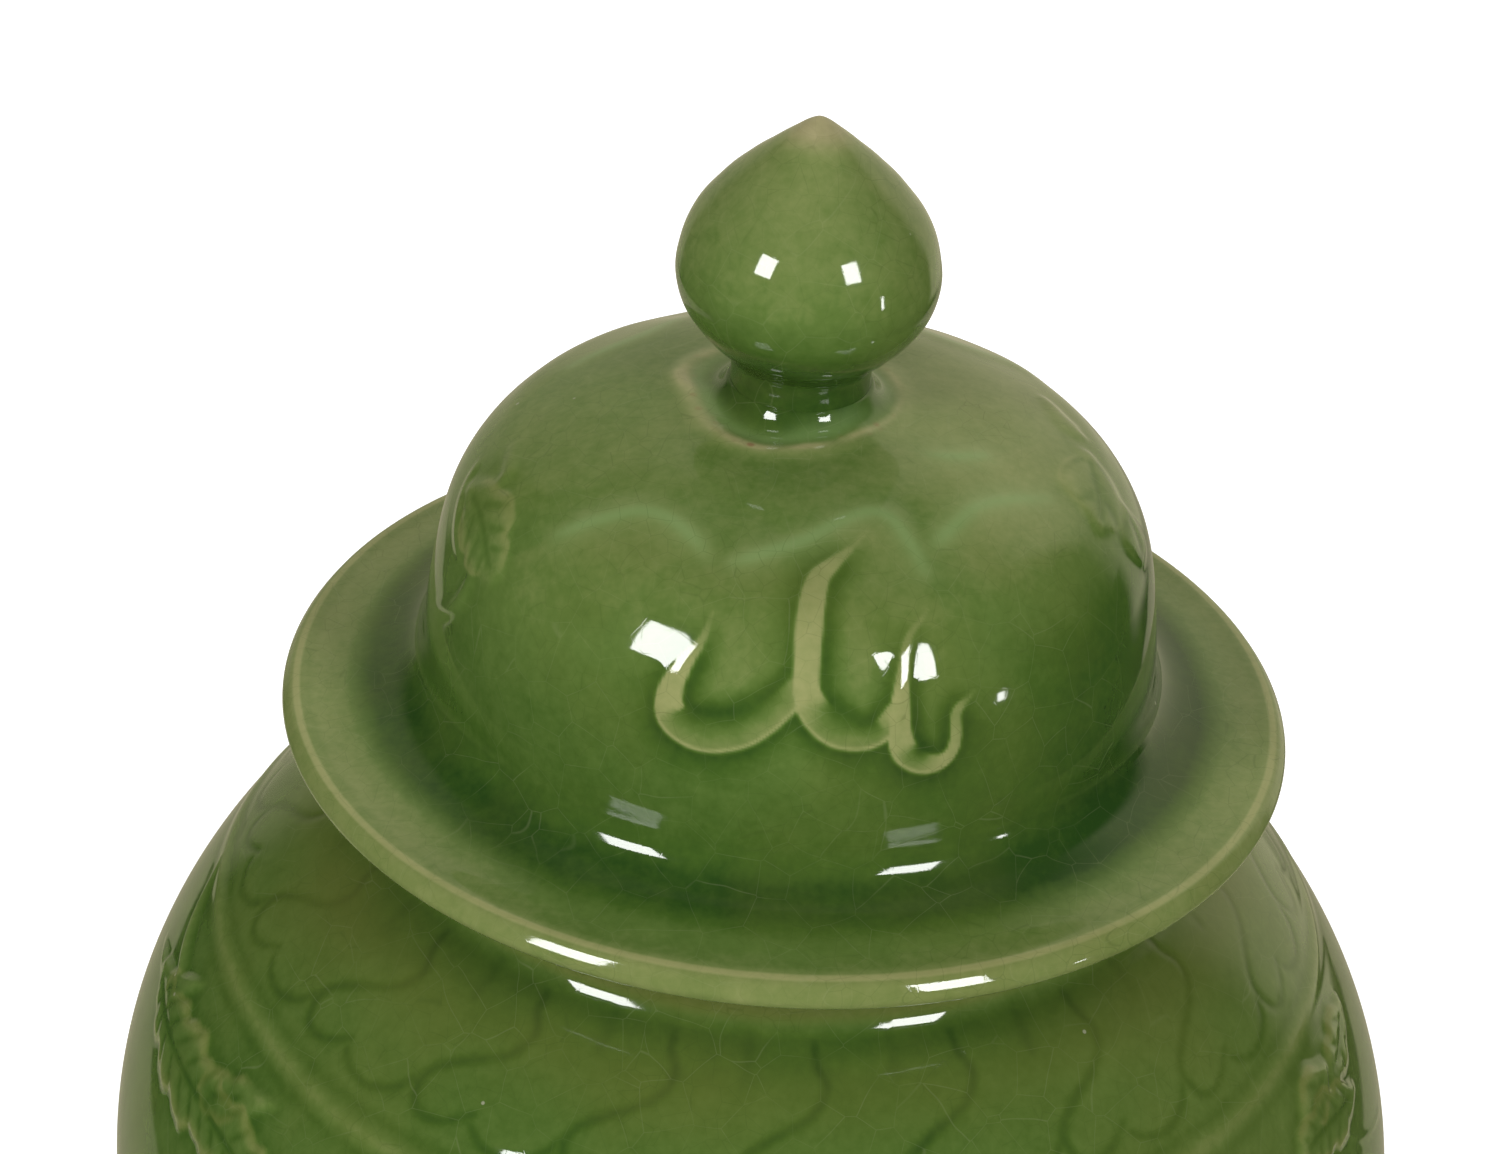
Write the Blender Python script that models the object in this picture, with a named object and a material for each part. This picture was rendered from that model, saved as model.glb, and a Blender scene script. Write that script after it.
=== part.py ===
"""Covered ginger jar: an ovoid body on a foot ring, a short neck, and a domed lid with a bud knob.

Lengths are millimetres until they reach a mesh. Angles are degrees round +Z, 0 at the front (-Y), growing
towards +X. Heights are measured up from the table.
"""

import math

import bmesh
import bpy
from mathutils import Vector

MM = 0.001
SEGMENTS = 56
KNOB_SEGMENTS = 36
SEAT_GAP = 0.3

# Foot and body
FOOT_RADIUS = 74.0
FOOT_WIDTH = 10.0
FOOT_HEIGHT = 8.0
FOOT_EDGE = 1.2
BELLY_RADIUS = 113.4
BELLY_RISE = 144.1
SHOULDER_RISE = 96.6
LOWER_DROP = 195.0
WALL = 7.5
FLOOR = 9.0
FLOOR_ROUND = 4.0

# Neck
NECK_RADIUS = 68.0
NECK_WALL = 7.0
NECK_HEIGHT = 12.5
NECK_FLARE = 1.0
NECK_EDGE = 1.5
NECK_FILLET = 4.5
FILLET_REACH = 4.0

# Lid
BRIM_RADIUS = 85.0
BRIM_THICK = 4.6
DOME_RADIUS = 61.8
DOME_RISE = 57.4
DOME_WALL = 6.5
FLANGE_PLAY = 1.5
FLANGE_WIDTH = 6.0
FLANGE_DEPTH = 13.0
FLANGE_EDGE = 1.4

# Knob: a short stem and a pointed bud, set a little to one side of the axis
KNOB_SHIFT = -1.5
STEM_RADIUS = 12.8
STEM_FOOT = 3.4
STEM_CUP = 1.4
STEM_HEIGHT = 8.8
BUD_RADIUS = 21.5
BUD_HEIGHT = 39.9

# Raised work
RING_HALF_WIDTH = 2.6
RING_RAISE = 1.1
CLOUD_RAISE = 1.7
SPRAY_RAISE = 1.5
LEAF_RAISE = 1.4
STROKE_TIP = 1.0
STROKE_SIDES = 4
STROKE_STEPS = 3

GLAZE = (0.105, 0.19, 0.045, 1.0)
PALE_GLAZE = (0.22, 0.27, 0.1, 1.0)
BARE_CLAY = (0.55, 0.44, 0.32, 1.0)

# Sizes that follow from those above
BODY_BASE = FOOT_HEIGHT + SEAT_GAP
BELLY_HEIGHT = BODY_BASE + BELLY_RISE
NECK_BORE = NECK_RADIUS - NECK_WALL
NECK_ROOT = NECK_RADIUS + NECK_FLARE
SHOULDER_END = NECK_ROOT + FILLET_REACH
SHOULDER_TOP = BELLY_HEIGHT + SHOULDER_RISE * math.sqrt(1 - (SHOULDER_END / BELLY_RADIUS) ** 2)
NECK_BASE = SHOULDER_TOP + NECK_FILLET
NECK_TOP = NECK_BASE + SEAT_GAP + NECK_HEIGHT
FLANGE_RADIUS = NECK_BORE - FLANGE_PLAY
FLANGE_BORE = FLANGE_RADIUS - FLANGE_WIDTH
BRIM_UNDER = NECK_TOP + SEAT_GAP
BRIM_TOP = BRIM_UNDER + BRIM_THICK
BRIM_WIDTH = BRIM_RADIUS - DOME_RADIUS
DOME_TOP = BRIM_TOP + DOME_RISE
STEM_BASE = DOME_TOP + SEAT_GAP
BUD_BASE = STEM_BASE + STEM_HEIGHT + SEAT_GAP

# Outlines: shares of the piece's radius and height
DOME_OUTLINE = [(0, 1), (0.463, 0.949), (0.733, 0.843), (0.845, 0.753), (0.924, 0.625), (0.966, 0.475),
                (0.992, 0.265), (1, 0.145)]
BRIM_FILLET = [(0.095, 0.08), (0.285, 0.038), (0.634, 0.01)]
BUD_OUTLINE = [(0.065, 0.985), (0.2, 0.931), (0.563, 0.762), (0.78, 0.634), (0.927, 0.507), (1, 0.329),
               (0.94, 0.182), (0.763, 0.049)]
RING_PLACE = 0.543

# The brim's edge, as shares of its thickness: in from the widest point, and up from its underside
BRIM_EDGE = [(0.52, 1.04), (0.13, 0.74), (0, 0.43), (0.09, 0.17), (0.35, 0)]

# Strokes of the raised work: angle, share of the rise, and width as a share of the piece's radius
CLOUD = [
    [(-13.8, 0.773, 0.016), (-16.3, 0.66, 0.048), (-18, 0.558, 0.08), (-14.3, 0.492, 0.096),
     (-8, 0.503, 0.099), (-2.8, 0.553, 0.083), (3.1, 0.665, 0.064)],
    [(17.2, 0.909, 0.016), (8.1, 0.871, 0.042), (3.7, 0.819, 0.069), (3.1, 0.701, 0.072),
     (4.1, 0.594, 0.086), (9.4, 0.521, 0.083), (14.8, 0.536, 0.064), (18, 0.614, 0.045)],
    [(25, 0.794, 0.016), (19.9, 0.725, 0.03), (17.9, 0.585, 0.059), (18.5, 0.466, 0.077), (22.9, 0.414, 0.056),
     (26.8, 0.481, 0.04), (27.2, 0.548, 0.034), (30.5, 0.598, 0.016)],
]
LEFT_SPRAY = [
    [(-78.8, 0.701, 0.065), (-71.8, 0.708, 0.178), (-65.9, 0.694, 0.218), (-61.7, 0.667, 0.194),
     (-58.3, 0.638, 0.105), (-56.9, 0.606, 0.016)],
    [(-82.3, 0.82, 0.02), (-77.4, 0.813, 0.042), (-73.6, 0.801, 0.049), (-72.7, 0.778, 0.039),
     (-73.5, 0.735, 0.032)],
    [(-62.5, 0.64, 0.032), (-63.1, 0.551, 0.049), (-64, 0.497, 0.058), (-66.4, 0.443, 0.049),
     (-70.5, 0.392, 0.032), (-75, 0.345, 0.016)],
    [(-84.9, 0.732, 0.024), (-81.8, 0.686, 0.049), (-77.8, 0.644, 0.055), (-72.4, 0.602, 0.049),
     (-67.4, 0.593, 0.032)],
]
RIGHT_SPRAY = [
    [(92.8, 0.835, 0.065), (86.1, 0.826, 0.194), (79.3, 0.808, 0.226), (74.6, 0.793, 0.129),
     (71, 0.783, 0.024)],
    [(114.1, 0.863, 0.032), (107, 0.86, 0.073), (102, 0.85, 0.089), (96, 0.84, 0.057), (91, 0.832, 0.049)],
    [(86, 0.79, 0.049), (84.9, 0.744, 0.049), (83.1, 0.711, 0.146), (81.4, 0.669, 0.178), (80.1, 0.636, 0.113),
     (79.3, 0.613, 0.016)],
]
LEFT_LEAF = [
    [(-84, 0.39, 0.026), (-79, 0.385, 0.097), (-73, 0.382, 0.128), (-66, 0.388, 0.132), (-60, 0.39, 0.132),
     (-54, 0.38, 0.115), (-49, 0.365, 0.071), (-45, 0.35, 0.018)],
    [(-60, 0.415, 0.071), (-56.5, 0.447, 0.066), (-53.5, 0.47, 0.04), (-51, 0.49, 0.009)],
    [(-76, 0.42, 0.062), (-74, 0.455, 0.04), (-72, 0.485, 0.009)],
    [(-88, 0.44, 0.018), (-84, 0.45, 0.062), (-80, 0.446, 0.066), (-76, 0.43, 0.035)],
    [(-81, 0.388, 0.026), (-88, 0.37, 0.026), (-95, 0.33, 0.026), (-101, 0.27, 0.018)],
]
RIGHT_LEAF = [
    [(78, 0.39, 0.018), (73, 0.405, 0.088), (68.5, 0.42, 0.106), (65, 0.425, 0.071), (62.5, 0.41, 0.018)],
    [(74, 0.478, 0.018), (71.5, 0.472, 0.062), (69, 0.466, 0.079), (67, 0.456, 0.062), (66, 0.442, 0.018)],
    [(85, 0.48, 0.018), (81, 0.47, 0.071), (77.5, 0.46, 0.079), (74.5, 0.45, 0.053), (72, 0.43, 0.026)],
    [(71, 0.41, 0.026), (73, 0.35, 0.026), (78, 0.29, 0.026), (85, 0.245, 0.018)],
]


def clear_scene():
    for obj in list(bpy.data.objects):
        bpy.data.objects.remove(obj, do_unlink=True)


def glaze(name, colour, roughness):
    material = bpy.data.materials.new(name)
    material.use_nodes = True
    shader = material.node_tree.nodes["Principled BSDF"]
    shader.inputs["Base Color"].default_value = colour
    shader.inputs["Roughness"].default_value = roughness
    return material


def smooth_line(points, per_span):
    """A line through the points, rounded between them."""
    rows = [Vector(p) for p in points]
    ends = [rows[0] * 2 - rows[1], *rows, rows[-1] * 2 - rows[-2]]
    line = []
    for a, b, c, d in zip(ends, ends[1:], ends[2:], ends[3:]):
        for step in range(per_span):
            t = step / per_span
            square = a * 2 - b * 5 + c * 4 - d
            cube = b * 3 - a - c * 3 + d
            line.append((b * 2 + (c - a) * t + square * t**2 + cube * t**3) / 2)
    line.append(rows[-1])
    return line


def arc(middle, half_axes, start, stop, count):
    """Points of an ellipse's arc, its angles measured up from the outward direction."""
    turns = [math.radians(start + (stop - start) * i / count) for i in range(count + 1)]
    across, up = half_axes
    return [Vector((middle[0] + across * math.cos(t), middle[1] + up * math.sin(t))) for t in turns]


def turned(name, profile, material, segments=SEGMENTS, closed=False, shift=0.0):
    """A solid of revolution whose profile runs down its outer side."""
    mesh = bpy.data.meshes.new(name)
    edges = [(i, i + 1) for i in range(len(profile) - 1)]
    if closed:
        edges.append((len(profile) - 1, 0))
    mesh.from_pydata([(p[0] * MM, 0, p[1] * MM) for p in profile], edges, [])
    obj = bpy.data.objects.new(name, mesh)
    bpy.context.collection.objects.link(obj)
    obj.location.x = shift * MM
    screw = obj.modifiers.new("turn", "SCREW")
    screw.axis = "Z"
    screw.steps = segments
    screw.render_steps = segments
    screw.use_merge_vertices = True
    screw.merge_threshold = 0.00001
    screw.use_smooth_shade = True
    obj.data.materials.append(material)
    return obj


def shoulder_radius(height):
    share = (height - BELLY_HEIGHT) / SHOULDER_RISE
    return BELLY_RADIUS * math.sqrt(1 - share**2)


def upper_arc(radius, count, inset=0.0):
    """The shoulder's ellipse from that radius down to the belly."""
    across = BELLY_RADIUS - inset
    start = math.degrees(math.acos(radius / across))
    return arc((0, BELLY_HEIGHT), (across, SHOULDER_RISE - inset), start, 0, count)


def lower_arc(height, count, inset=0.0):
    """The lower ellipse from the belly down to that height."""
    drop = LOWER_DROP - inset
    stop = -math.degrees(math.asin((BELLY_HEIGHT - height) / drop))
    return arc((0, BELLY_HEIGHT), (BELLY_RADIUS - inset, drop), 0, stop, count)


def jar_body(material):
    """The hollow body, from its floor up the inside, over the neck seat and down the outside."""
    floor = BODY_BASE + FLOOR
    inside = [*upper_arc(NECK_BORE, 6, WALL), *lower_arc(floor + FLOOR_ROUND, 6, WALL)[1:]]
    floor_edge = inside[-1].x - FLOOR_ROUND
    neck_seat = [(NECK_BORE, NECK_BASE), (NECK_ROOT, NECK_BASE)]
    fillet = (NECK_ROOT + 0.3 * FILLET_REACH, NECK_BASE - 0.43 * NECK_FILLET)
    outside = [fillet, *upper_arc(SHOULDER_END, 10), *lower_arc(BODY_BASE, 9)[1:]]
    profile = [(0, floor), (floor_edge, floor), *reversed(inside), *neck_seat, *outside, (0, BODY_BASE)]
    return turned("jar_body", profile, material)


def foot_ring(material):
    inner = FOOT_RADIUS - FOOT_WIDTH
    profile = [
        (inner, FOOT_HEIGHT),
        (FOOT_RADIUS + FOOT_EDGE, FOOT_HEIGHT),
        (FOOT_RADIUS, FOOT_HEIGHT / 2),
        (FOOT_RADIUS, FOOT_EDGE),
        (FOOT_RADIUS - FOOT_EDGE, 0),
        (inner + FOOT_EDGE, 0),
        (inner, FOOT_EDGE),
    ]
    return turned("foot_ring", profile, material, closed=True)


def neck_ring(material):
    low = NECK_BASE + SEAT_GAP
    profile = [
        (NECK_BORE, NECK_TOP - NECK_EDGE),
        (NECK_BORE + NECK_EDGE, NECK_TOP),
        (NECK_RADIUS - NECK_EDGE, NECK_TOP),
        (NECK_RADIUS, NECK_TOP - NECK_EDGE),
        (NECK_RADIUS, low + NECK_HEIGHT / 4),
        (NECK_ROOT, low),
        (NECK_BORE, low),
    ]
    return turned("neck_ring", profile, material, closed=True)


def dome_outside():
    """The dome's outer line from its top down to the brim."""
    dome = [(r * DOME_RADIUS, BRIM_TOP + h * DOME_RISE) for r, h in DOME_OUTLINE]
    fillet = [(DOME_RADIUS + r * BRIM_WIDTH, BRIM_TOP + h * DOME_RISE) for r, h in BRIM_FILLET]
    return smooth_line([*dome, *fillet], 2)


def lid_shell(material):
    edge = [(BRIM_RADIUS - i * BRIM_THICK, BRIM_UNDER + h * BRIM_THICK) for i, h in BRIM_EDGE]
    radius = DOME_RADIUS - DOME_WALL
    top = DOME_TOP - DOME_WALL
    hollow = [(r * radius, top - (1 - h) * (DOME_RISE - DOME_WALL)) for r, h in DOME_OUTLINE[:-1]]
    profile = [*dome_outside(), *smooth_line(edge, 2), (FLANGE_BORE, BRIM_UNDER), *reversed(hollow)]
    return turned("lid_shell", profile, material)


def lid_flange(material):
    top = BRIM_UNDER - SEAT_GAP
    low = top - FLANGE_DEPTH
    profile = [
        (FLANGE_BORE, top),
        (FLANGE_RADIUS, top),
        (FLANGE_RADIUS, low + FLANGE_EDGE),
        (FLANGE_RADIUS - FLANGE_EDGE, low),
        (FLANGE_BORE + FLANGE_EDGE, low),
        (FLANGE_BORE, low + FLANGE_EDGE),
    ]
    return turned("lid_flange", profile, material, closed=True)


def finial_stem(material):
    top = STEM_BASE + STEM_HEIGHT
    side = smooth_line(
        [
            (STEM_RADIUS + STEM_CUP, top),
            (STEM_RADIUS, top - STEM_HEIGHT / 4),
            (STEM_RADIUS, STEM_BASE + STEM_HEIGHT * 0.37),
            (STEM_RADIUS + STEM_FOOT, STEM_BASE + STEM_HEIGHT * 0.17),
            (STEM_RADIUS + STEM_FOOT * 0.85, STEM_BASE),
        ],
        2,
    )
    return turned("finial_stem", [(0, top), *side, (0, STEM_BASE)], material, KNOB_SEGMENTS, shift=KNOB_SHIFT)


def finial_bud(material):
    side = [(r * BUD_RADIUS, BUD_BASE + h * BUD_HEIGHT) for r, h in BUD_OUTLINE]
    side = smooth_line([*side, (STEM_RADIUS + STEM_CUP, BUD_BASE)], 2)
    profile = [(0, BUD_BASE + BUD_HEIGHT), *side, (0, BUD_BASE)]
    return turned("finial_bud", profile, material, KNOB_SEGMENTS, shift=KNOB_SHIFT)


def dome_radius(height):
    line = dome_outside()
    for upper, lower in zip(line, line[1:]):
        if lower.y <= height <= upper.y:
            share = (upper.y - height) / (upper.y - lower.y)
            return upper.x + (lower.x - upper.x) * share
    return line[-1].x


def raised(angle, height, lift, radius_at):
    """The point that stands off a turned surface by lift, along its normal."""
    step = SEAT_GAP
    slope = (radius_at(height + step) - radius_at(height - step)) / (2 * step)
    out = 1 / math.hypot(1, slope)
    radius = radius_at(height) + lift * out
    turn = math.radians(angle)
    return Vector((radius * math.sin(turn), -radius * math.cos(turn), height - lift * slope * out))


def shoulder_ring(material):
    """A low crowned ring that follows the shoulder."""
    middle = BELLY_HEIGHT + RING_PLACE * SHOULDER_RISE
    places = [(1, 0), (0.6, 0.75), (0, 1), (-0.6, 0.75), (-1, 0), (0, 0)]
    loop = [
        raised(0, middle + side * RING_HALF_WIDTH, SEAT_GAP + lift * RING_RAISE, shoulder_radius)
        for side, lift in places
    ]
    return turned("shoulder_ring", [(-p.y, p.z) for p in loop], material, closed=True)


def stroke(name, stations, raise_by, radius_at):
    """A crowned strip on a turned surface, through stations of angle, height and width."""
    line = smooth_line(stations, STROKE_STEPS)
    middle = [raised(s.x, s.y, 0, radius_at) for s in line]
    shape = bmesh.new()
    loops = []
    for i, station in enumerate(line):
        ahead = middle[min(i + 1, len(line) - 1)] - middle[max(i - 1, 0)]
        up = raised(station.x, station.y, 1, radius_at) - middle[i]
        across = up.cross(ahead).normalized()
        width = max(station.z, STROKE_TIP)
        tall = min(raise_by, width * 0.6)
        under = []
        over = []
        for k in range(STROKE_SIDES + 1):
            place = 2 * k / STROKE_SIDES - 1
            spot = middle[i] + across * (place * width / 2)
            angle = math.degrees(math.atan2(spot.x, -spot.y))
            crown = 0.35 + 0.65 * math.sqrt(1 - place**2)
            under.append(raised(angle, spot.z, SEAT_GAP, radius_at))
            over.append(raised(angle, spot.z, SEAT_GAP + tall * crown, radius_at))
        loops.append([shape.verts.new(p * MM) for p in [*under, *reversed(over)]])
    for first, second in zip(loops, loops[1:]):
        for k in range(len(first)):
            n = (k + 1) % len(first)
            shape.faces.new((first[k], first[n], second[n], second[k]))
    shape.faces.new(loops[0])
    shape.faces.new(reversed(loops[-1]))
    bmesh.ops.recalc_face_normals(shape, faces=shape.faces)
    mesh = bpy.data.meshes.new(name)
    shape.to_mesh(mesh)
    shape.free()
    obj = bpy.data.objects.new(name, mesh)
    bpy.context.collection.objects.link(obj)
    return obj


def relief(name, strokes, raise_by, surface, material):
    """Several strokes on one surface, joined into one raised piece."""
    radius_at, base, rise, radius = surface
    placed = [[(a, base + h * rise, w * radius) for a, h, w in stations] for stations in strokes]
    obj = stroke(name, placed[0], raise_by, radius_at)
    obj.data.materials.append(material)
    for number, stations in enumerate(placed[1:], 1):
        extra = stroke(f"{name}_add_{number}", stations, raise_by, radius_at)
        extra.hide_render = True
        extra.display_type = "WIRE"
        union = obj.modifiers.new(f"join_{number}", "BOOLEAN")
        union.operation = "UNION"
        union.solver = "EXACT"
        union.object = extra
    return obj


def build():
    clear_scene()
    body_glaze = glaze("jar_glaze", GLAZE, 0.12)
    lid_glaze = glaze("lid_glaze", GLAZE, 0.12)
    thin_glaze = glaze("thin_glaze", PALE_GLAZE, 0.15)
    clay = glaze("bare_clay", BARE_CLAY, 0.8)
    shoulder = (shoulder_radius, BELLY_HEIGHT, SHOULDER_RISE, BELLY_RADIUS)
    dome = (dome_radius, BRIM_TOP, DOME_RISE, DOME_RADIUS)
    foot_ring(clay)
    jar_body(body_glaze)
    neck_ring(body_glaze)
    shoulder_ring(thin_glaze)
    relief("left_leaf_spray", LEFT_LEAF, LEAF_RAISE, shoulder, thin_glaze)
    relief("right_leaf_spray", RIGHT_LEAF, LEAF_RAISE, shoulder, thin_glaze)
    lid_shell(lid_glaze)
    lid_flange(lid_glaze)
    finial_stem(lid_glaze)
    finial_bud(lid_glaze)
    relief("cloud_scroll", CLOUD, CLOUD_RAISE, dome, thin_glaze)
    relief("left_dome_spray", LEFT_SPRAY, SPRAY_RAISE, dome, thin_glaze)
    relief("right_dome_spray", RIGHT_SPRAY, SPRAY_RAISE, dome, thin_glaze)


build()
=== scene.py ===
import collections
import math

import bpy
import numpy as np
from mathutils import Matrix, Vector


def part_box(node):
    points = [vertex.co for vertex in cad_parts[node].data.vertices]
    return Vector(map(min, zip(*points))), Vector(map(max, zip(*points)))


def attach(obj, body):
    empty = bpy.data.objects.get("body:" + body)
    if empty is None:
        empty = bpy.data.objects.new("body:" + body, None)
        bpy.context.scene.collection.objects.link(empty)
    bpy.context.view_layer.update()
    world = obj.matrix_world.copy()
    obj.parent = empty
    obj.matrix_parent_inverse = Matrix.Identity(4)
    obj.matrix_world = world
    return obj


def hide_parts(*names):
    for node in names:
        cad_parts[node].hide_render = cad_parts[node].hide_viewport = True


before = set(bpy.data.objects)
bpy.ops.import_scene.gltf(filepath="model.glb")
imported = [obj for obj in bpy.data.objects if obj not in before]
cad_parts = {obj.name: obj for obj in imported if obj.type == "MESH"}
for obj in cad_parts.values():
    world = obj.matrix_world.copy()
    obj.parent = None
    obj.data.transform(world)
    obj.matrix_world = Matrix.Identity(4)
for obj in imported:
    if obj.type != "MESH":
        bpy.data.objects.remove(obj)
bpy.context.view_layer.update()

MM = 0.001


def box_mm(name):
    """A solid's lowest and highest corners in millimetres."""
    low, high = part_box(name)
    return np.array(low) / MM, np.array(high) / MM


# Sizes in millimetres, from the solids where they give them
# Angles are in degrees from the front, to the right
foot_high = box_mm("foot_ring")[1]
body_low, body_high = box_mm("jar_body")
neck_high = box_mm("neck_ring")[1]
shell_low, shell_high = box_mm("lid_shell")
flange_low, flange_high = box_mm("lid_flange")
bud_low, bud_high = box_mm("finial_bud")

FOOT_R, FOOT_BORE = foot_high[0], 64
BELLY_R, BODY_BASE = body_high[0], body_low[2]
BELLY_Z, SHOULDER_RISE, LOWER_DROP = BODY_BASE + 144.1, 96.6, 195
WALL, FLOOR_THICK, FLOOR_CORNER = 7.5, 9, 4
FLOOR_Z = BODY_BASE + FLOOR_THICK
NECK_R, NECK_BORE, NECK_TOP = 68, 61, neck_high[2]
SHOULDER_END, RING_Z = 73.4, 204.9
BRIM_R, BRIM_UNDER, BRIM_THICK = shell_high[0], shell_low[2], 4.6
BRIM_TOP, DOME_TOP = BRIM_UNDER + BRIM_THICK, shell_high[2]
DOME_R, DOME_RISE, DOME_WALL = 61.8, DOME_TOP - BRIM_TOP, 6.5
FLANGE_R, FLANGE_WIDTH, FLANGE_LOW = flange_high[0], 6, flange_low[2]
FLANGE_BORE = FLANGE_R - FLANGE_WIDTH
KNOB_SHIFT = (bud_low[0] + bud_high[0]) / 2
BUD_BASE, BUD_H, BUD_R = bud_low[2], bud_high[2] - bud_low[2], (bud_high[0] - bud_low[0]) / 2

# Turned outlines, as shares of a radius and a rise
DOME_OUTLINE = [(0, 1), (0.463, 0.949), (0.733, 0.843), (0.845, 0.753), (0.924, 0.625), (0.966, 0.475),
                (0.992, 0.265), (1, 0.145)]
BRIM_FILLET = [(0.095, 0.08), (0.285, 0.038), (0.634, 0.01)]
BRIM_EDGE = [(0.52, 1.04), (0.13, 0.74), (0, 0.43), (0.09, 0.17), (0.35, 0)]
BUD_OUTLINE = [(0, 1), (0.065, 0.985), (0.2, 0.931), (0.563, 0.762), (0.78, 0.634), (0.927, 0.507),
               (1, 0.329), (0.94, 0.182), (0.763, 0.049)]
# The knob's stem, as radius and height
STEM_OUTLINE = [(13.4, 314.6), (12.1, 313), (11.6, 311), (11.5, 309.4), (11.6, 308.2),
                (11.3, 306.5), (10.6, 304.5)]
STEM_END = [(8, 303.6), (0, 303.6)]


# Lines and grids

TINY, FAR, ON_AXIS = 1e-9, 1e9, 1e-6
# A hump of this width has a deviation of 1
BELL = 1.414
ELLIPSE_STEPS, STROKE_STEPS = 160, 8
STROKE_REACH, LEAST_WIDTH, LEAST_RADIUS, BLUR_RADIUS = 9, 0.2, 10, 2


def smooth(points, per_span=12):
    """A rounded line through the points."""
    p = np.asarray(points, float)
    p = np.vstack([2 * p[0] - p[1], p, 2 * p[-1] - p[-2]])
    t = np.arange(per_span)[:, None] / per_span
    spans = []
    for a, b, c, d in zip(p, p[1:], p[2:], p[3:]):
        bend, twist = 2 * a - 5 * b + 4 * c - d, 3 * b - a - 3 * c + d
        spans.append((2 * b + (c - a) * t + bend * t**2 + twist * t**3) / 2)
    return np.vstack([*spans, p[-2:-1]])


def lengths(line):
    return np.r_[0, np.cumsum(np.linalg.norm(np.diff(line[:, :2], axis=0), axis=1))]


def resample(line, step):
    """The line with points about step apart."""
    line = np.asarray(line, float)
    s = lengths(line)
    at = np.linspace(0, s[-1], max(int(round(s[-1] / step)), 2) + 1)
    return np.stack([np.interp(at, s, line[:, k]) for k in range(line.shape[1])], 1)


def ellipse(start, stop, inset=0, rise=SHOULDER_RISE):
    """The jar's side between two angles up from its widest height."""
    t = np.radians(np.linspace(start, stop, ELLIPSE_STEPS))
    return np.stack([(BELLY_R - inset) * np.cos(t), BELLY_Z + (rise - inset) * np.sin(t)], 1)


def waves(angle, parts):
    """An uneven line: a sum of (size, turns, phase)."""
    return sum(size * np.sin(turns * angle + phase) for size, turns, phase in parts)


def ramp(x, low, high):
    """0 at low, 1 at high, smooth between."""
    t = np.clip((x - low) / (high - low), 0, 1)
    return t * t * (3 - 2 * t)


def hump(x, width):
    return np.exp(-((x / width) ** 2))


FLANK_FULL_TO = 120


def flank(degrees, start, full, back=170):
    """1 on one side of the jar, fading out towards the front and the back."""
    return (ramp(degrees, start, full) * ramp(degrees, back, FLANK_FULL_TO))[None, :]


# How grid points lie to the stroke they are near: level is 1 where it runs round the axis, 0 where it climbs
Near = collections.namedtuple("Near", "rows columns gap side half place level")


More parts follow.
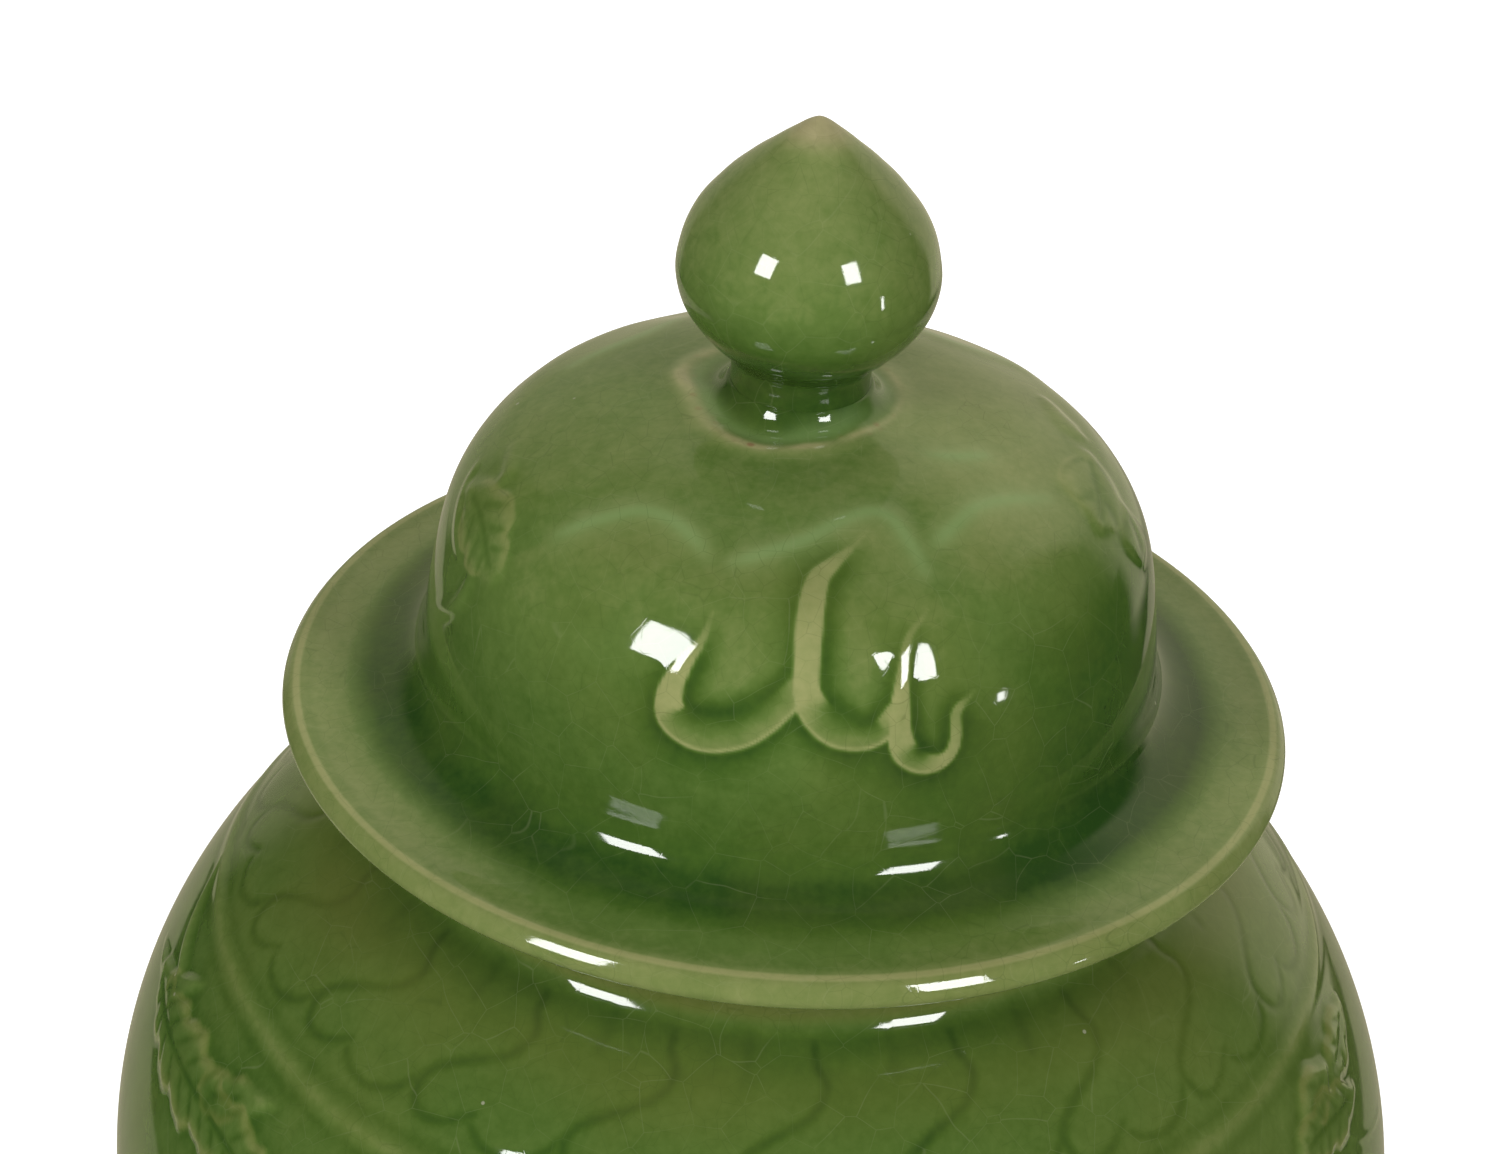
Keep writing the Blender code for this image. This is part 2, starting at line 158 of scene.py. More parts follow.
class Turned:
    """A turned surface as a grid: rows down the profile, columns round the axis."""

    def __init__(self, profile, columns):
        self.p = np.asarray(profile, float)
        self.r, self.z = self.p[:, 0], self.p[:, 1]
        self.s = lengths(self.p)
        ahead = np.gradient(self.p, axis=0)
        ahead /= np.maximum(np.linalg.norm(ahead, axis=1), TINY)[:, None]
        self.normal = np.stack([-ahead[:, 1], ahead[:, 0]], 1)
        self.angle = np.linspace(-np.pi, np.pi, columns, endpoint=False)
        self.degrees = np.degrees(self.angle)
        self.h = np.zeros((len(self.p), columns))

    def soften(self, size):
        """Weights that soften a column by size millimetres."""
        kernel = hump(self.s[:, None] - self.s[None, :], BELL * size) * np.gradient(self.s)[None, :]
        return kernel / kernel.sum(1, keepdims=True)

    def blur(self, field, size):
        """The field softened by size millimetres both ways."""
        field = self.soften(size) @ field
        turns = np.arange(field.shape[1] // 2 + 1)
        wide = size / np.maximum(self.r, BLUR_RADIUS)
        fade = np.exp(-0.5 * (wide[:, None] * turns[None, :]) ** 2)
        return np.fft.irfft(np.fft.rfft(field, axis=1) * fade, n=field.shape[1], axis=1)

    def finder(self, rows, base, rise):
        """A function from a share of the rise to the length down the profile."""
        z, s = self.z[slice(*rows)][::-1], self.s[slice(*rows)][::-1]
        return lambda share: float(np.interp(base + share * rise, z, s))

    def near(self, points, rows, wrap=None, reach=STROKE_REACH):
        """The grid points near a stroke of (degrees, length down the profile, width)."""
        line = smooth(points, STROKE_STEPS)
        line[:, 2] = np.maximum(line[:, 2], LEAST_WIDTH)
        i0, i1 = np.searchsorted(self.s, (line[:, 1].min() - reach, line[:, 1].max() + reach))
        i0, i1 = max(i0, rows[0]), min(i1, rows[1])
        s, r = self.s[i0:i1, None], self.r[i0:i1, None]
        scale = np.radians(1) * r
        if wrap:
            period, start = wrap
            turn = (self.degrees - start + period / 2) % period - period / 2
            columns = np.arange(len(turn))
            shifts = (-period, 0, period)
        else:
            start, stop = line[:, 0].min(), line[:, 0].max()
            middle = (start + stop) / 2
            turn = (self.degrees - middle + 180) % 360 - 180 + middle
            room = math.degrees(reach / max(self.r[i0:i1].min(), LEAST_RADIUS))
            columns = np.where((turn > start - room) & (turn < stop + room))[0]
            shifts = (0,)
        turn = turn[None, columns]
        gap = np.full((i1 - i0, len(columns)), FAR)
        half = np.ones_like(gap)
        side, place, level = (np.zeros_like(gap) for _ in range(3))
        for shift in shifts:
            for k, (a, b) in enumerate(zip(line, line[1:])):
                px, py = (turn - a[0] - shift) * scale, (s - a[1]) + 0 * turn
                qx, qy = (b[0] - a[0]) * scale, b[1] - a[1]
                long = np.maximum(qx**2 + qy**2, TINY)
                along = np.clip((px * qx + py * qy) / long, 0, 1)
                away = np.hypot(px - along * qx, py - along * qy)
                nearer = away < gap
                gap = np.where(nearer, away, gap)
                side = np.where(nearer, np.sign(px * qy - py * qx), side)
                half = np.where(nearer, (a[2] + (b[2] - a[2]) * along) / 2, half)
                place = np.where(nearer, (k + along) / (len(line) - 1), place)
                level = np.where(nearer, np.abs(qx) / np.sqrt(long), level)
        return Near(slice(i0, i1), columns, gap, side, half, place, level)

    def build(self, name, material, fields=None, shift=0):
        """The mesh, with its fields as point attributes."""
        n, m = self.h.shape
        r = self.r[:, None] + self.normal[:, :1] * self.h
        z = self.z[:, None] + self.normal[:, 1:] * self.h
        r = np.where(self.r[:, None] < ON_AXIS, 0, r)
        xyz = np.stack([r * np.sin(self.angle) + shift, -r * np.cos(self.angle), z], -1) * MM
        first, last = self.r[0] < ON_AXIS, self.r[-1] < ON_AXIS
        low, high = int(first), n - int(last)
        points = [xyz[low:high].reshape(-1, 3)]
        rows = high - low
        index = np.arange(rows * m).reshape(rows, m)
        right = np.roll(index, -1, axis=1)
        quads = np.stack([index[:-1], index[1:], right[1:], right[:-1]], -1).reshape(-1, 4)
        if not first and not last:
            closing = np.stack([index[-1], index[0], right[0], right[-1]], -1)
            quads = np.vstack([quads, closing])
        tris = [np.zeros((0, 3), int)]
        count = rows * m
        if first:
            points.append(xyz[0].mean(0)[None])
            tris.append(np.stack([np.full(m, count), index[0], right[0]], -1))
            count += 1
        if last:
            points.append(xyz[-1].mean(0)[None])
            tris.append(np.stack([index[-1], np.full(m, count), right[-1]], -1))
        points, tris = np.vstack(points), np.vstack(tris)
        corners = np.r_[quads.reshape(-1), tris.reshape(-1)]
        starts = np.r_[np.arange(len(quads)) * 4, len(quads) * 4 + np.arange(len(tris)) * 3]
        mesh = bpy.data.meshes.new(name)
        mesh.vertices.add(len(points))
        mesh.vertices.foreach_set("co", points.astype(np.float32).reshape(-1))
        mesh.loops.add(len(corners))
        mesh.loops.foreach_set("vertex_index", corners.astype(np.int32))
        mesh.polygons.add(len(starts))
        mesh.polygons.foreach_set("loop_start", starts.astype(np.int32))
        mesh.update(calc_edges=True)
        mesh.shade_smooth()
        for key, field in (fields or {}).items():
            field = np.broadcast_to(field, (n, m))
            ends = [field[0].mean()] * int(first) + [field[-1].mean()] * int(last)
            values = np.r_[field[low:high].reshape(-1), ends].astype(np.float32)
            mesh.attributes.new(key, "FLOAT", "POINT").data.foreach_set("value", values)
        mesh.materials.append(material)
        return add_object(name, mesh)


def add_object(name, data):
    obj = bpy.data.objects.new(name, data)
    bpy.context.scene.collection.objects.link(obj)
    return obj


def lay(field, near, values):
    """Raises the field to the values where the stroke is near."""
    block = field[near.rows][:, near.columns]
    field[near.rows.start:near.rows.stop, near.columns] = np.maximum(block, values)


# Materials

class Net:
    """The nodes of a material or a world."""

    def __init__(self, owner, place):
        owner.use_nodes = True
        self.tree = owner.node_tree
        self.tree.nodes.clear()
        self.place = self.add("ShaderNodeTexCoord").outputs[place]

    def add(self, kind, inputs=None, **settings):
        made = self.tree.nodes.new(kind)
        for key, value in settings.items():
            setattr(made, key, value)
        for key, value in (inputs or {}).items():
            if hasattr(value, "is_output"):
                self.tree.links.new(value, made.inputs[key])
            else:
                made.inputs[key].default_value = value
        return made

    def math(self, operation, a, b=0, c=0, clamp=False):
        inputs = {0: a, 1: b, 2: c}
        return self.add("ShaderNodeMath", inputs, operation=operation, use_clamp=clamp).outputs[0]

    def times(self, a, b):
        return self.math("MULTIPLY", a, b)

    def most(self, a, b):
        return self.math("MAXIMUM", a, b)

    def scaled(self, value, scale, plus, clamp=False):
        return self.math("MULTIPLY_ADD", value, scale, plus, clamp)

    def mix(self, share, a, b):
        """A colour from a to b."""
        a, b = (v if hasattr(v, "is_output") else (*v, 1) for v in (a, b))
        inputs = {0: share, 6: a, 7: b}
        return self.add("ShaderNodeMix", inputs, data_type="RGBA", clamp_factor=True).outputs[2]

    def fade(self, value, low, high, to_low=0, to_high=1):
        inputs = {"Value": value, "From Min": low, "From Max": high, "To Min": to_low, "To Max": to_high}
        return self.add("ShaderNodeMapRange", inputs, interpolation_type="SMOOTHSTEP").outputs[0]

    def noise(self, scale, detail=2, roughness=0.5, output="Fac"):
        inputs = {"Vector": self.place, "Scale": scale, "Detail": detail, "Roughness": roughness}
        return self.add("ShaderNodeTexNoise", inputs).outputs[output]

    def cells(self, where, scale, feature="F1"):
        return self.add("ShaderNodeTexVoronoi", {"Vector": where, "Scale": scale}, feature=feature).outputs

    def field(self, name):
        return self.add("ShaderNodeAttribute", attribute_name=name).outputs["Fac"]

    def bump(self, height, strength, distance, **below):
        inputs = {"Height": height, "Strength": strength, "Distance": distance, **below}
        return self.add("ShaderNodeBump", inputs).outputs[0]

    def show(self, kind, shader):
        self.add(kind, {"Surface": shader.outputs[0]})


def new_material(name):
    material = bpy.data.materials.new(name)
    return material, Net(material, "Object")


# Glaze colours from thin to pooled, with their places on a scale of 0 to 1
GLAZE = [(0, (0.3, 0.31, 0.125)), (0.22, (0.195, 0.235, 0.078)), (0.48, (0.098, 0.158, 0.034)),
         (0.74, (0.05, 0.102, 0.0145)), (1, (0.018, 0.054, 0.008))]
OLIVE = (0.118, 0.132, 0.027)
TEAL = (0.185, 0.28, 0.098)
DARK_CRACK, PALE_CRACK = (0.042, 0.072, 0.014), (0.29, 0.32, 0.165)
SPECK = (0.3, 0.31, 0.2)
RUST = (0.2, 0.085, 0.03)
CLAY, DARK_CLAY, BURNT_CLAY = (0.46, 0.35, 0.235), (0.34, 0.245, 0.155), (0.3, 0.19, 0.11)

# Noise as scale, detail and roughness, cells as scale; 100 is about 10 mm
BROAD, PATCHES, MOTTLE, GRAIN = (26, 3, 0.55), (75, 4, 0.6), (230, 3, 0.6), (700,)
SWELL, RIPPLE, BEND = (42,), (240, 1), (55,)
CLAY_GRAIN, CLAY_PATCHES = (900, 4), (45, 3)
LONG_CELLS, SHORT_CELLS, SPECK_CELLS, RUST_CELLS = 125, 250, 210, 330
# Shares of the uneven glaze, which together average about 0
PATCHES_SHARE, MOTTLE_SHARE, GRAIN_SHARE = 0.44, 0.4, 0.34
PATCH_MIDDLE, FINE_MIDDLE, BROAD_OLIVE = 0.22, 0.37, 0.18
# Cracks: how far they bend, half widths in shares of a cell, faintest and strongest line
CRACK_BEND, LONG_HALF, SHORT_HALF = 0.003, 0.012, 0.024
PALE_LINES, DARK_LINES = (0.05, 0.13), (0.08, 0.26)
SPECK_SIZE, SPECK_STRENGTH, SPECK_CHOICE, RUST_SIZE = (0.05, 0.09), 0.8, 0.96, (0.1, 0.32)
# Bumps as strength and depth in metres
RIPPLE_SHARE, SWELL_BUMP, CRACK_BUMP, CLAY_BUMP = 0.02, (0.3, 0.0004), (0.02, 0.0001), (0.5, 0.0003)
GLOSS, BARE_ROUGH, GLAZE_IOR, CLAY_ROUGH, BURNT_SHARE = (0.03, 0.1), 0.75, 1.5, (0.65, 0.9), 0.6


def glaze_depth(net, patches, grain):
    """The glaze from thin to pooled as a colour, from the surface's own field and from noise."""
    uneven = net.scaled(patches, PATCHES_SHARE, -PATCH_MIDDLE)
    fine = net.scaled(net.noise(*MOTTLE), MOTTLE_SHARE, -FINE_MIDDLE)
    fine = net.scaled(grain, GRAIN_SHARE, fine)
    level = net.math("ADD", net.math("ADD", net.field("glaze"), uneven), fine)
    colours = net.add("ShaderNodeValToRGB", {"Fac": net.scaled(level, 0.5, 0.5, clamp=True)})
    stops = colours.color_ramp.elements
    stops[0].color, stops[1].color = (*GLAZE[0][1], 1), (*GLAZE[-1][1], 1)
    for place, colour in GLAZE[1:-1]:
        stops.new(place).color = (*colour, 1)
    return colours.outputs["Color"]


def crackle(net):
    """Long and short cracks as lines of strength 1."""
    inputs = {0: net.noise(*BEND, output="Color"), 1: (CRACK_BEND,) * 3, 2: net.place}
    bent = net.add("ShaderNodeVectorMath", inputs, operation="MULTIPLY_ADD").outputs[0]
    lines = []
    for scale, half in ((LONG_CELLS, LONG_HALF), (SHORT_CELLS, SHORT_HALF)):
        gap = net.cells(bent, scale, "DISTANCE_TO_EDGE")["Distance"]
        lines.append(net.fade(gap, 0, half, 1, 0))
    return lines


def specks(net):
    """A few small dots in the glaze."""
    dots = net.cells(net.place, SPECK_CELLS)
    chosen = net.add("ShaderNodeSeparateColor", {"Color": dots["Color"]}).outputs[0]
    dot = net.fade(dots["Distance"], *SPECK_SIZE, SPECK_STRENGTH, 0)
    return net.times(dot, net.math("GREATER_THAN", chosen, SPECK_CHOICE))


def glaze_material(name):
    """Green crackled glaze, pale where it runs thin and dark where it pools, from the surface's fields,
    which also carry painted shade and painted sheen on some sides.
    """
    material, net = new_material(name)
    bare = net.field("bare")
    broad, patches, grain = (net.noise(*settings) for settings in (BROAD, PATCHES, GRAIN))

    colour = glaze_depth(net, patches, grain)
    broad_tint = net.fade(broad, 0.45, 0.7, 0, BROAD_OLIVE)
    colour = net.mix(net.math("ADD", net.field("olive"), broad_tint, clamp=True), colour, OLIVE)
    colour = net.mix(net.field("opal"), colour, TEAL)
    long_cracks, short_cracks = crackle(net)
    pale = net.times(long_cracks, net.fade(patches, 0.4, 0.6, *PALE_LINES))
    dark = net.times(short_cracks, net.fade(broad, 0.4, 0.6, *DARK_LINES))
    colour = net.mix(pale, net.mix(dark, colour, DARK_CRACK), PALE_CRACK)
    colour = net.mix(specks(net), colour, SPECK)
    rusty = net.fade(net.cells(net.place, RUST_CELLS)["Distance"], *RUST_SIZE, 1, 0)
    colour = net.mix(net.times(rusty, net.field("rust")), colour, RUST)
    colour = net.mix(bare, colour, net.mix(grain, CLAY, DARK_CLAY))

    raised = net.scaled(net.noise(*RIPPLE), RIPPLE_SHARE, net.noise(*SWELL))
    uncracked = net.math("SUBTRACT", 1, net.most(long_cracks, short_cracks))
    normal = net.bump(uncracked, *CRACK_BUMP, Normal=net.bump(raised, *SWELL_BUMP))
    rough = net.most(net.fade(patches, 0.3, 0.75, *GLOSS), net.times(bare, BARE_ROUGH))
    inputs = {"Base Color": colour, "Roughness": rough, "Normal": normal, "IOR": GLAZE_IOR}
    net.show("ShaderNodeOutputMaterial", net.add("ShaderNodeBsdfPrincipled", inputs))
    return material


def clay_material(name):
    """Bare buff stoneware, burnt brown in patches."""
    material, net = new_material(name)
    grain = net.noise(*CLAY_GRAIN)
    burnt = net.fade(net.noise(*CLAY_PATCHES), 0.45, 0.7, 0, BURNT_SHARE)
    colour = net.mix(burnt, net.mix(grain, CLAY, DARK_CLAY), BURNT_CLAY)
    rough = net.fade(grain, 0.3, 0.7, *CLAY_ROUGH)
    inputs = {"Base Color": colour, "Roughness": rough, "Normal": net.bump(grain, *CLAY_BUMP)}
    net.show("ShaderNodeOutputMaterial", net.add("ShaderNodeBsdfPrincipled", inputs))
    return material


# Strokes of the raised work: degrees, share of the rise, and width in millimetres
CLOUD = [
    [(-13.7, 0.779, 0.6), (-14.4, 0.718, 1.7), (-16.3, 0.66, 3), (-17.8, 0.582, 4.4), (-17.1, 0.524, 5.6),
     (-14.3, 0.492, 6), (-10.8, 0.489, 6.4), (-6.4, 0.511, 6), (-2.8, 0.553, 5.2), (0.4, 0.607, 4.6),
     (2.9, 0.657, 4.2)],
    [(17.2, 0.911, 0.6), (12.2, 0.89, 1.4), (8.1, 0.871, 2.6), (5, 0.851, 3.7), (3.7, 0.819, 4.3),
     (3.2, 0.766, 4.6), (3.1, 0.701, 4.4), (3.2, 0.634, 4.6), (4.8, 0.579, 5.4), (8, 0.531, 5.6),
     (11.7, 0.512, 4.8), (14.8, 0.526, 4.2), (17.1, 0.577, 3.4)],
    [(25, 0.794, 0.6), (22.9, 0.772, 1), (20.7, 0.749, 1.5), (19.5, 0.718, 1.9), (18.8, 0.675, 2.3),
     (18.2, 0.628, 2.9), (17.8, 0.577, 3.7), (17.8, 0.509, 4.3), (18.8, 0.459, 4.6), (21.2, 0.423, 4),
     (24, 0.415, 3.2), (26, 0.438, 2.6), (26.9, 0.484, 2.4), (26.9, 0.541, 2.2), (27.9, 0.566, 1.9),
     (29.4, 0.583, 1.2), (30.5, 0.598, 0.5)],
]
# Upper edges of low mounds above the cloud, with their height
MOUNDS = [
    ([(-12.6, 0.861, 4), (-5.8, 0.882, 7), (1.9, 0.902, 7), (11.1, 0.924, 8), (20.2, 0.932, 8),
      (24.9, 0.921, 6), (26.6, 0.887, 5), (27, 0.851, 4)], 0.75),
    ([(-49.4, 0.802, 4), (-44.8, 0.85, 7), (-38.7, 0.885, 8), (-30.8, 0.892, 7), (-22.6, 0.877, 5),
      (-18, 0.856, 3)], 0.7),
    ([(30.7, 0.878, 3), (38, 0.895, 6), (48.2, 0.907, 7), (58.2, 0.897, 6), (68.3, 0.867, 4)], 0.7),
    ([(56, 0.96, 4), (61.7, 0.952, 6), (69.3, 0.941, 5)], 0.5),
]
BACK_MOUNDS = 3
# Soft bosses inside the cloud: degrees, share, half width round and down, height
BOSSES = [(-6, 0.66, 5.5, 9, 0.3), (12, 0.66, 4, 9, 0.3), (1.5, 0.43, 8, 4.5, 0.25),
          (22.6, 0.58, 2.6, 5, 0.2)]
LEFT_SPRAY = [
    [(-78.8, 0.701, 4), (-71.8, 0.708, 11), (-65.9, 0.694, 13.5), (-61.7, 0.667, 12), (-58.3, 0.638, 6.5),
     (-56.9, 0.606, 1)],
    [(-82.3, 0.82, 1.2), (-77.4, 0.813, 2.6), (-73.6, 0.801, 3), (-72.7, 0.778, 2.4), (-74.4, 0.755, 0.8)],
    [(-63.4, 0.597, 1.4), (-63.1, 0.551, 3), (-64, 0.497, 3.6), (-66.4, 0.443, 3), (-70.5, 0.392, 2),
     (-76, 0.345, 0.8)],
    [(-84.9, 0.732, 1.5), (-81.8, 0.686, 3), (-77.8, 0.644, 3.4), (-72.4, 0.602, 3), (-67.4, 0.583, 1.5)],
]
RIGHT_SPRAY = [
    [(114.1, 0.863, 2), (107, 0.86, 4.5), (102.5, 0.85, 5.5), (100.6, 0.838, 3.5), (100.7, 0.826, 1)],
    [(92.8, 0.835, 4), (86.1, 0.826, 12), (79.3, 0.808, 14), (74.6, 0.793, 8), (71, 0.783, 1.5)],
    [(84.9, 0.744, 3), (83.1, 0.711, 9), (81.4, 0.669, 11), (80.1, 0.636, 7), (79.3, 0.613, 1)],
]
# The last two strokes of the left leaves are their stems
LEFT_LEAF = [
    [(-82, 0.4, 3), (-77.5, 0.393, 9), (-72, 0.388, 12.5), (-65, 0.39, 13.5), (-59, 0.39, 13.5),
     (-53, 0.38, 12), (-48, 0.365, 8), (-44, 0.35, 2)],
    [(-60, 0.415, 8), (-56.5, 0.447, 7.5), (-53.5, 0.47, 4.5), (-51, 0.49, 1)],
    [(-76, 0.42, 7), (-74, 0.455, 4.5), (-72, 0.485, 1)],
    [(-90, 0.535, 0.8), (-86, 0.508, 2.4), (-81.5, 0.468, 3.4), (-78, 0.445, 3.4), (-75.5, 0.43, 3)],
    [(-81, 0.388, 3), (-84.5, 0.383, 2.4), (-88, 0.375, 0.8)],
]
RIGHT_LEAF = [
    [(78, 0.39, 2), (73, 0.405, 10), (68.5, 0.42, 12), (65, 0.425, 8), (62.5, 0.41, 2)],
    [(74, 0.478, 2), (71.5, 0.472, 7), (69, 0.466, 9), (67, 0.456, 7), (66, 0.442, 2)],
    [(85, 0.48, 2), (81, 0.47, 8), (77.5, 0.46, 9), (74.5, 0.45, 6), (72, 0.43, 3)],
    [(71, 0.41, 2), (73, 0.35, 1), (78, 0.29, 0.8), (85, 0.245, 0.7)],
]
# How far round the copies at the back are turned
HALF_TURN, LEFT_TURN, RIGHT_TURN = 180, 200, 155

# Incised band between neck and ring: one repeat as degrees, radius and width in millimetres
BAND_REPEATS, BAND_START = 20, -1.2
BAND_S = [(8.4, 71.2, 1.1), (8.6, 74.1, 1.3), (9.7, 77.1, 1.4), (7.9, 80.6, 1.5), (2.9, 83.9, 1.6),
          (0.1, 86.6, 1.6), (0, 89.2, 1.6), (1.3, 90.9, 1.5), (4, 90.8, 1.4), (7.5, 88.5, 1)]
BAND_U = [(7.6, 89.8, 1), (9.3, 91.1, 1.4), (12.3, 91.5, 1.5), (15.7, 90, 1.5), (17, 88, 1)]
BAND_BAR = [(0.2, 70, 1.6), (0.2, 73, 2.2), (0.1, 75.5, 2), (0, 77, 1)]
BAND_LINES, LEAST_GROOVE = ((BAND_S, 1), (BAND_U, 1), (BAND_BAR, 0.4)), 0.35

# Low ridge on the dome round the knob: degrees and radius about the knob's own axis
STEM_RIDGE = [(-180, 19.5), (-140, 20.5), (-110, 20.7), (-89, 18.1), (-67, 17.6), (-45, 18.3), (-28, 18.6),
              (-15, 18.4), (3, 17), (20, 16.4), (41, 15.5), (58, 15.7), (100, 17), (140, 18.5), (180, 19.5)]


def turned(strokes, degrees):
    return [[(a + degrees, b, w) for a, b, w in points] for points in strokes]


# Section of a scroll stroke in millimetres; pairs are the ends of a fade
LEVEL_FADE, LEAN_WIDTH, LEAN_FADE, LEAN_DROP = (0.3, 0.8), (1.4, 2.2), (0.5, 5.5), 0.65
STROKE_EDGE, CREST_EDGE, FULL_HALF, LEAST_SIZE = (-0.3, 0.8), (-0.1, 0.45), 1.5, 0.3
LIP_PLACE, LIP_WIDTH, LIP_SHARE = 0.35, 0.4, 0.7
SLOPE_START, SLOPE_END, SLOPE_SHARE = (0, 0.6), (4.5, 0.6), 0.42
POOL_PLACE, INNER_POOL, OUTER_POOL = 0.4, 2.2, 2.8
POOL_EDGE, POOL_TAPER, POOL_CLEAR = (-0.4, 0.3), (0.3, 1.4), (0.1, 0.6)


def cloud_relief(grid, strokes, at, rows):
    """Ridges from 0 to 1 that lean inwards where they run level, their crests and the pools beside them."""
    lift, crest, pool = (np.zeros_like(grid.h) for _ in range(3))
    for points in strokes:
        near = grid.near([(a, at(b), w) for a, b, w in points], rows)
        within, from_outside = near.half - near.gap, near.half + near.side * near.gap
        lean = ramp(near.level, *LEVEL_FADE) * ramp(near.half, *LEAN_WIDTH)
        size = np.clip(near.half / FULL_HALF, LEAST_SIZE, 1)
        drop = LEAN_DROP * lean * ramp(from_outside, *LEAN_FADE)
        lay(lift, near, ramp(within, *STROKE_EDGE) * size * (1 - drop))
        lip = LIP_SHARE * hump(from_outside - LIP_PLACE, LIP_WIDTH)
        slope = SLOPE_SHARE * ramp(from_outside, *SLOPE_START) * ramp(from_outside, *SLOPE_END)
        lay(crest, near, size * (ramp(within, *CREST_EDGE) * (1 - lean) + (lip + slope) * lean))
        beside = near.gap - near.half
        inner = hump(beside - POOL_PLACE, INNER_POOL)
        outer = ramp(beside, *POOL_EDGE) * np.exp(-np.maximum(beside, 0) / OUTER_POOL)
        lay(pool, near, np.where(near.side > 0, inner, outer) * ramp(near.half, *POOL_TAPER))
    return lift, crest, pool * (1 - ramp(crest, *POOL_CLEAR))


# Lobes of a leaf's edge as waves, and its section in millimetres; pairs are the ends of a fade
LOBES, LOBE_SIDE, LOBED_WIDTH = ((1, 2, 0), (0.8, 0.74, 0.8), (0.4, 4.3, 0)), 0.25, (2, 4)
LEAST_EDGE, EDGE_OUT, EDGE_IN, LEAF_FULL, LEAF_LEAST = 0.3, -0.35, 0.9, 1.6, 0.25
VEINED_WIDTH, VEIN_SLANT, RIB_WIDTH, RIB_SHARE, MIDRIB = (2.4, 4.4), 1.3, 0.16, 0.75, 0.7
RIB_OUTER, RIB_INNER, VEIN_CLEAR = (0.2, 1.4), (0.2, 1.5), (0.3, 0.8)
BORDER_PLACE, BORDER_EDGE = (0.45, 0.95), (-0.3, 0.5)


def leaf_relief(grid, at, rows, strokes, edge, wavy, spacing, border_share):
    """Leaves from 0 to 1 with lobed edges, the veins cut into them, and their thin borders."""
    lift, veins, border = (np.zeros_like(grid.h) for _ in range(3))
    for points in strokes:
        placed = np.array([(a, at(b), w) for a, b, w in points])
        around = np.radians(placed[:, 0]) * np.interp(placed[:, 1], grid.s, grid.r)
        long = lengths(np.stack([around, placed[:, 1]], 1))[-1]
        near = grid.near(placed, rows)
        uneven = waves(np.pi * (near.place * long / spacing + LOBE_SIDE * near.side), LOBES)
        half = near.half * (1 + wavy * uneven * ramp(near.half, *LOBED_WIDTH))
        within = half - near.gap
        soft = np.minimum(edge, np.maximum(half, LEAST_EDGE))
        size = np.clip(half / LEAF_FULL, LEAF_LEAST, 1)
        lay(lift, near, ramp(within, EDGE_OUT * soft, EDGE_IN * soft) * size)
        wide = ramp(half, *VEINED_WIDTH)
        across = (2 * near.place * long - VEIN_SLANT * near.gap) / spacing
        rib = hump((across + 0.5) % 1 - 0.5, RIB_WIDTH)
        rib = rib * ramp(within, *RIB_OUTER) * ramp(near.gap, *RIB_INNER)
        lay(veins, near, wide * np.maximum(RIB_SHARE * rib, hump(near.gap, MIDRIB)))
        lay(border, near, ramp(near.gap / half, *BORDER_PLACE) * ramp(within, *BORDER_EDGE) * wide)
    return lift, veins * ramp(lift, *VEIN_CLEAR), border_share * border


def leaf_pair(grid, at, rows, left, right):
    """The leaves of two sides as one relief."""
    sides = leaf_relief(grid, at, rows, *left), leaf_relief(grid, at, rows, *right)
    return [np.maximum(a, b) for a, b in zip(*sides)]


def pooled(grid, relief, size, strength, limit):
    """Glaze gathers in hollows and thins on edges of the relief."""
    return np.clip((grid.blur(relief, size) - relief) * strength, -limit, limit)


# The lid

LID_STEP, HIDDEN_STEP, LID_COLUMNS = 0.42, 3, 840
BRIM_ROLL, DOME_FOOT, FOOT_BLEND = 4, (10, 5), (0.5, 3)
# Leaves: softness of edge, depth of lobes, spacing of veins, strength of border
LEFT_STYLE, RIGHT_STYLE = (1.6, 0.1, 8, 1), (2.6, 0.05, 12, 0.5)
MOUND_REACH, MOUND_TAPER, MOUND_BELOW, MOUND_ABOVE = 26, (0.8, 3), 13, 2.4
OPAL_LINE, OPAL_HAZE = (0.65, 1.3), (0.35, 3.5)
RIDGE_WIDTH, RIDGE_FAINT, RIDGE_MIDDLE, RIDGE_FADE = 2.2, 0.4, -35, (105, 65)
RIDGE_CREST, RIDGE_CREST_IN, CREST_WIDER, WIDER_FROM = 0.8, 0.2, 0.7, (-20, -70)
RIDGE_BREAKS, BREAK_DEPTH, INSIDE_RIDGE = (7, 2, 3), 0.35, (0.6, 2.6, 1.6)
# Heights of the relief, and how far each is softened
CLOUD_HEIGHT, POOL_DEPTH, SPRAY_HEIGHT, SPRAY_VEINS = 0.32, 0.03, 0.6, 0.4
MOUND_HEIGHT, BOSS_HEIGHT, RIDGE_HEIGHT = 0.6, 0.4, 0.5
CLOUD_SOFT, POOL_SOFT, SPRAY_SOFT, MOUND_SOFT = 0.9, 0.8, 0.7, 1.4
STEM_FLARE, FLARE_START, FLARE_WIDTH = 3.4, 17.5, 5.9
LID_WOBBLE, WOBBLE_FADE = ((0.16, 2, 0.7), (0.1, 3, 2)), (20, 70)
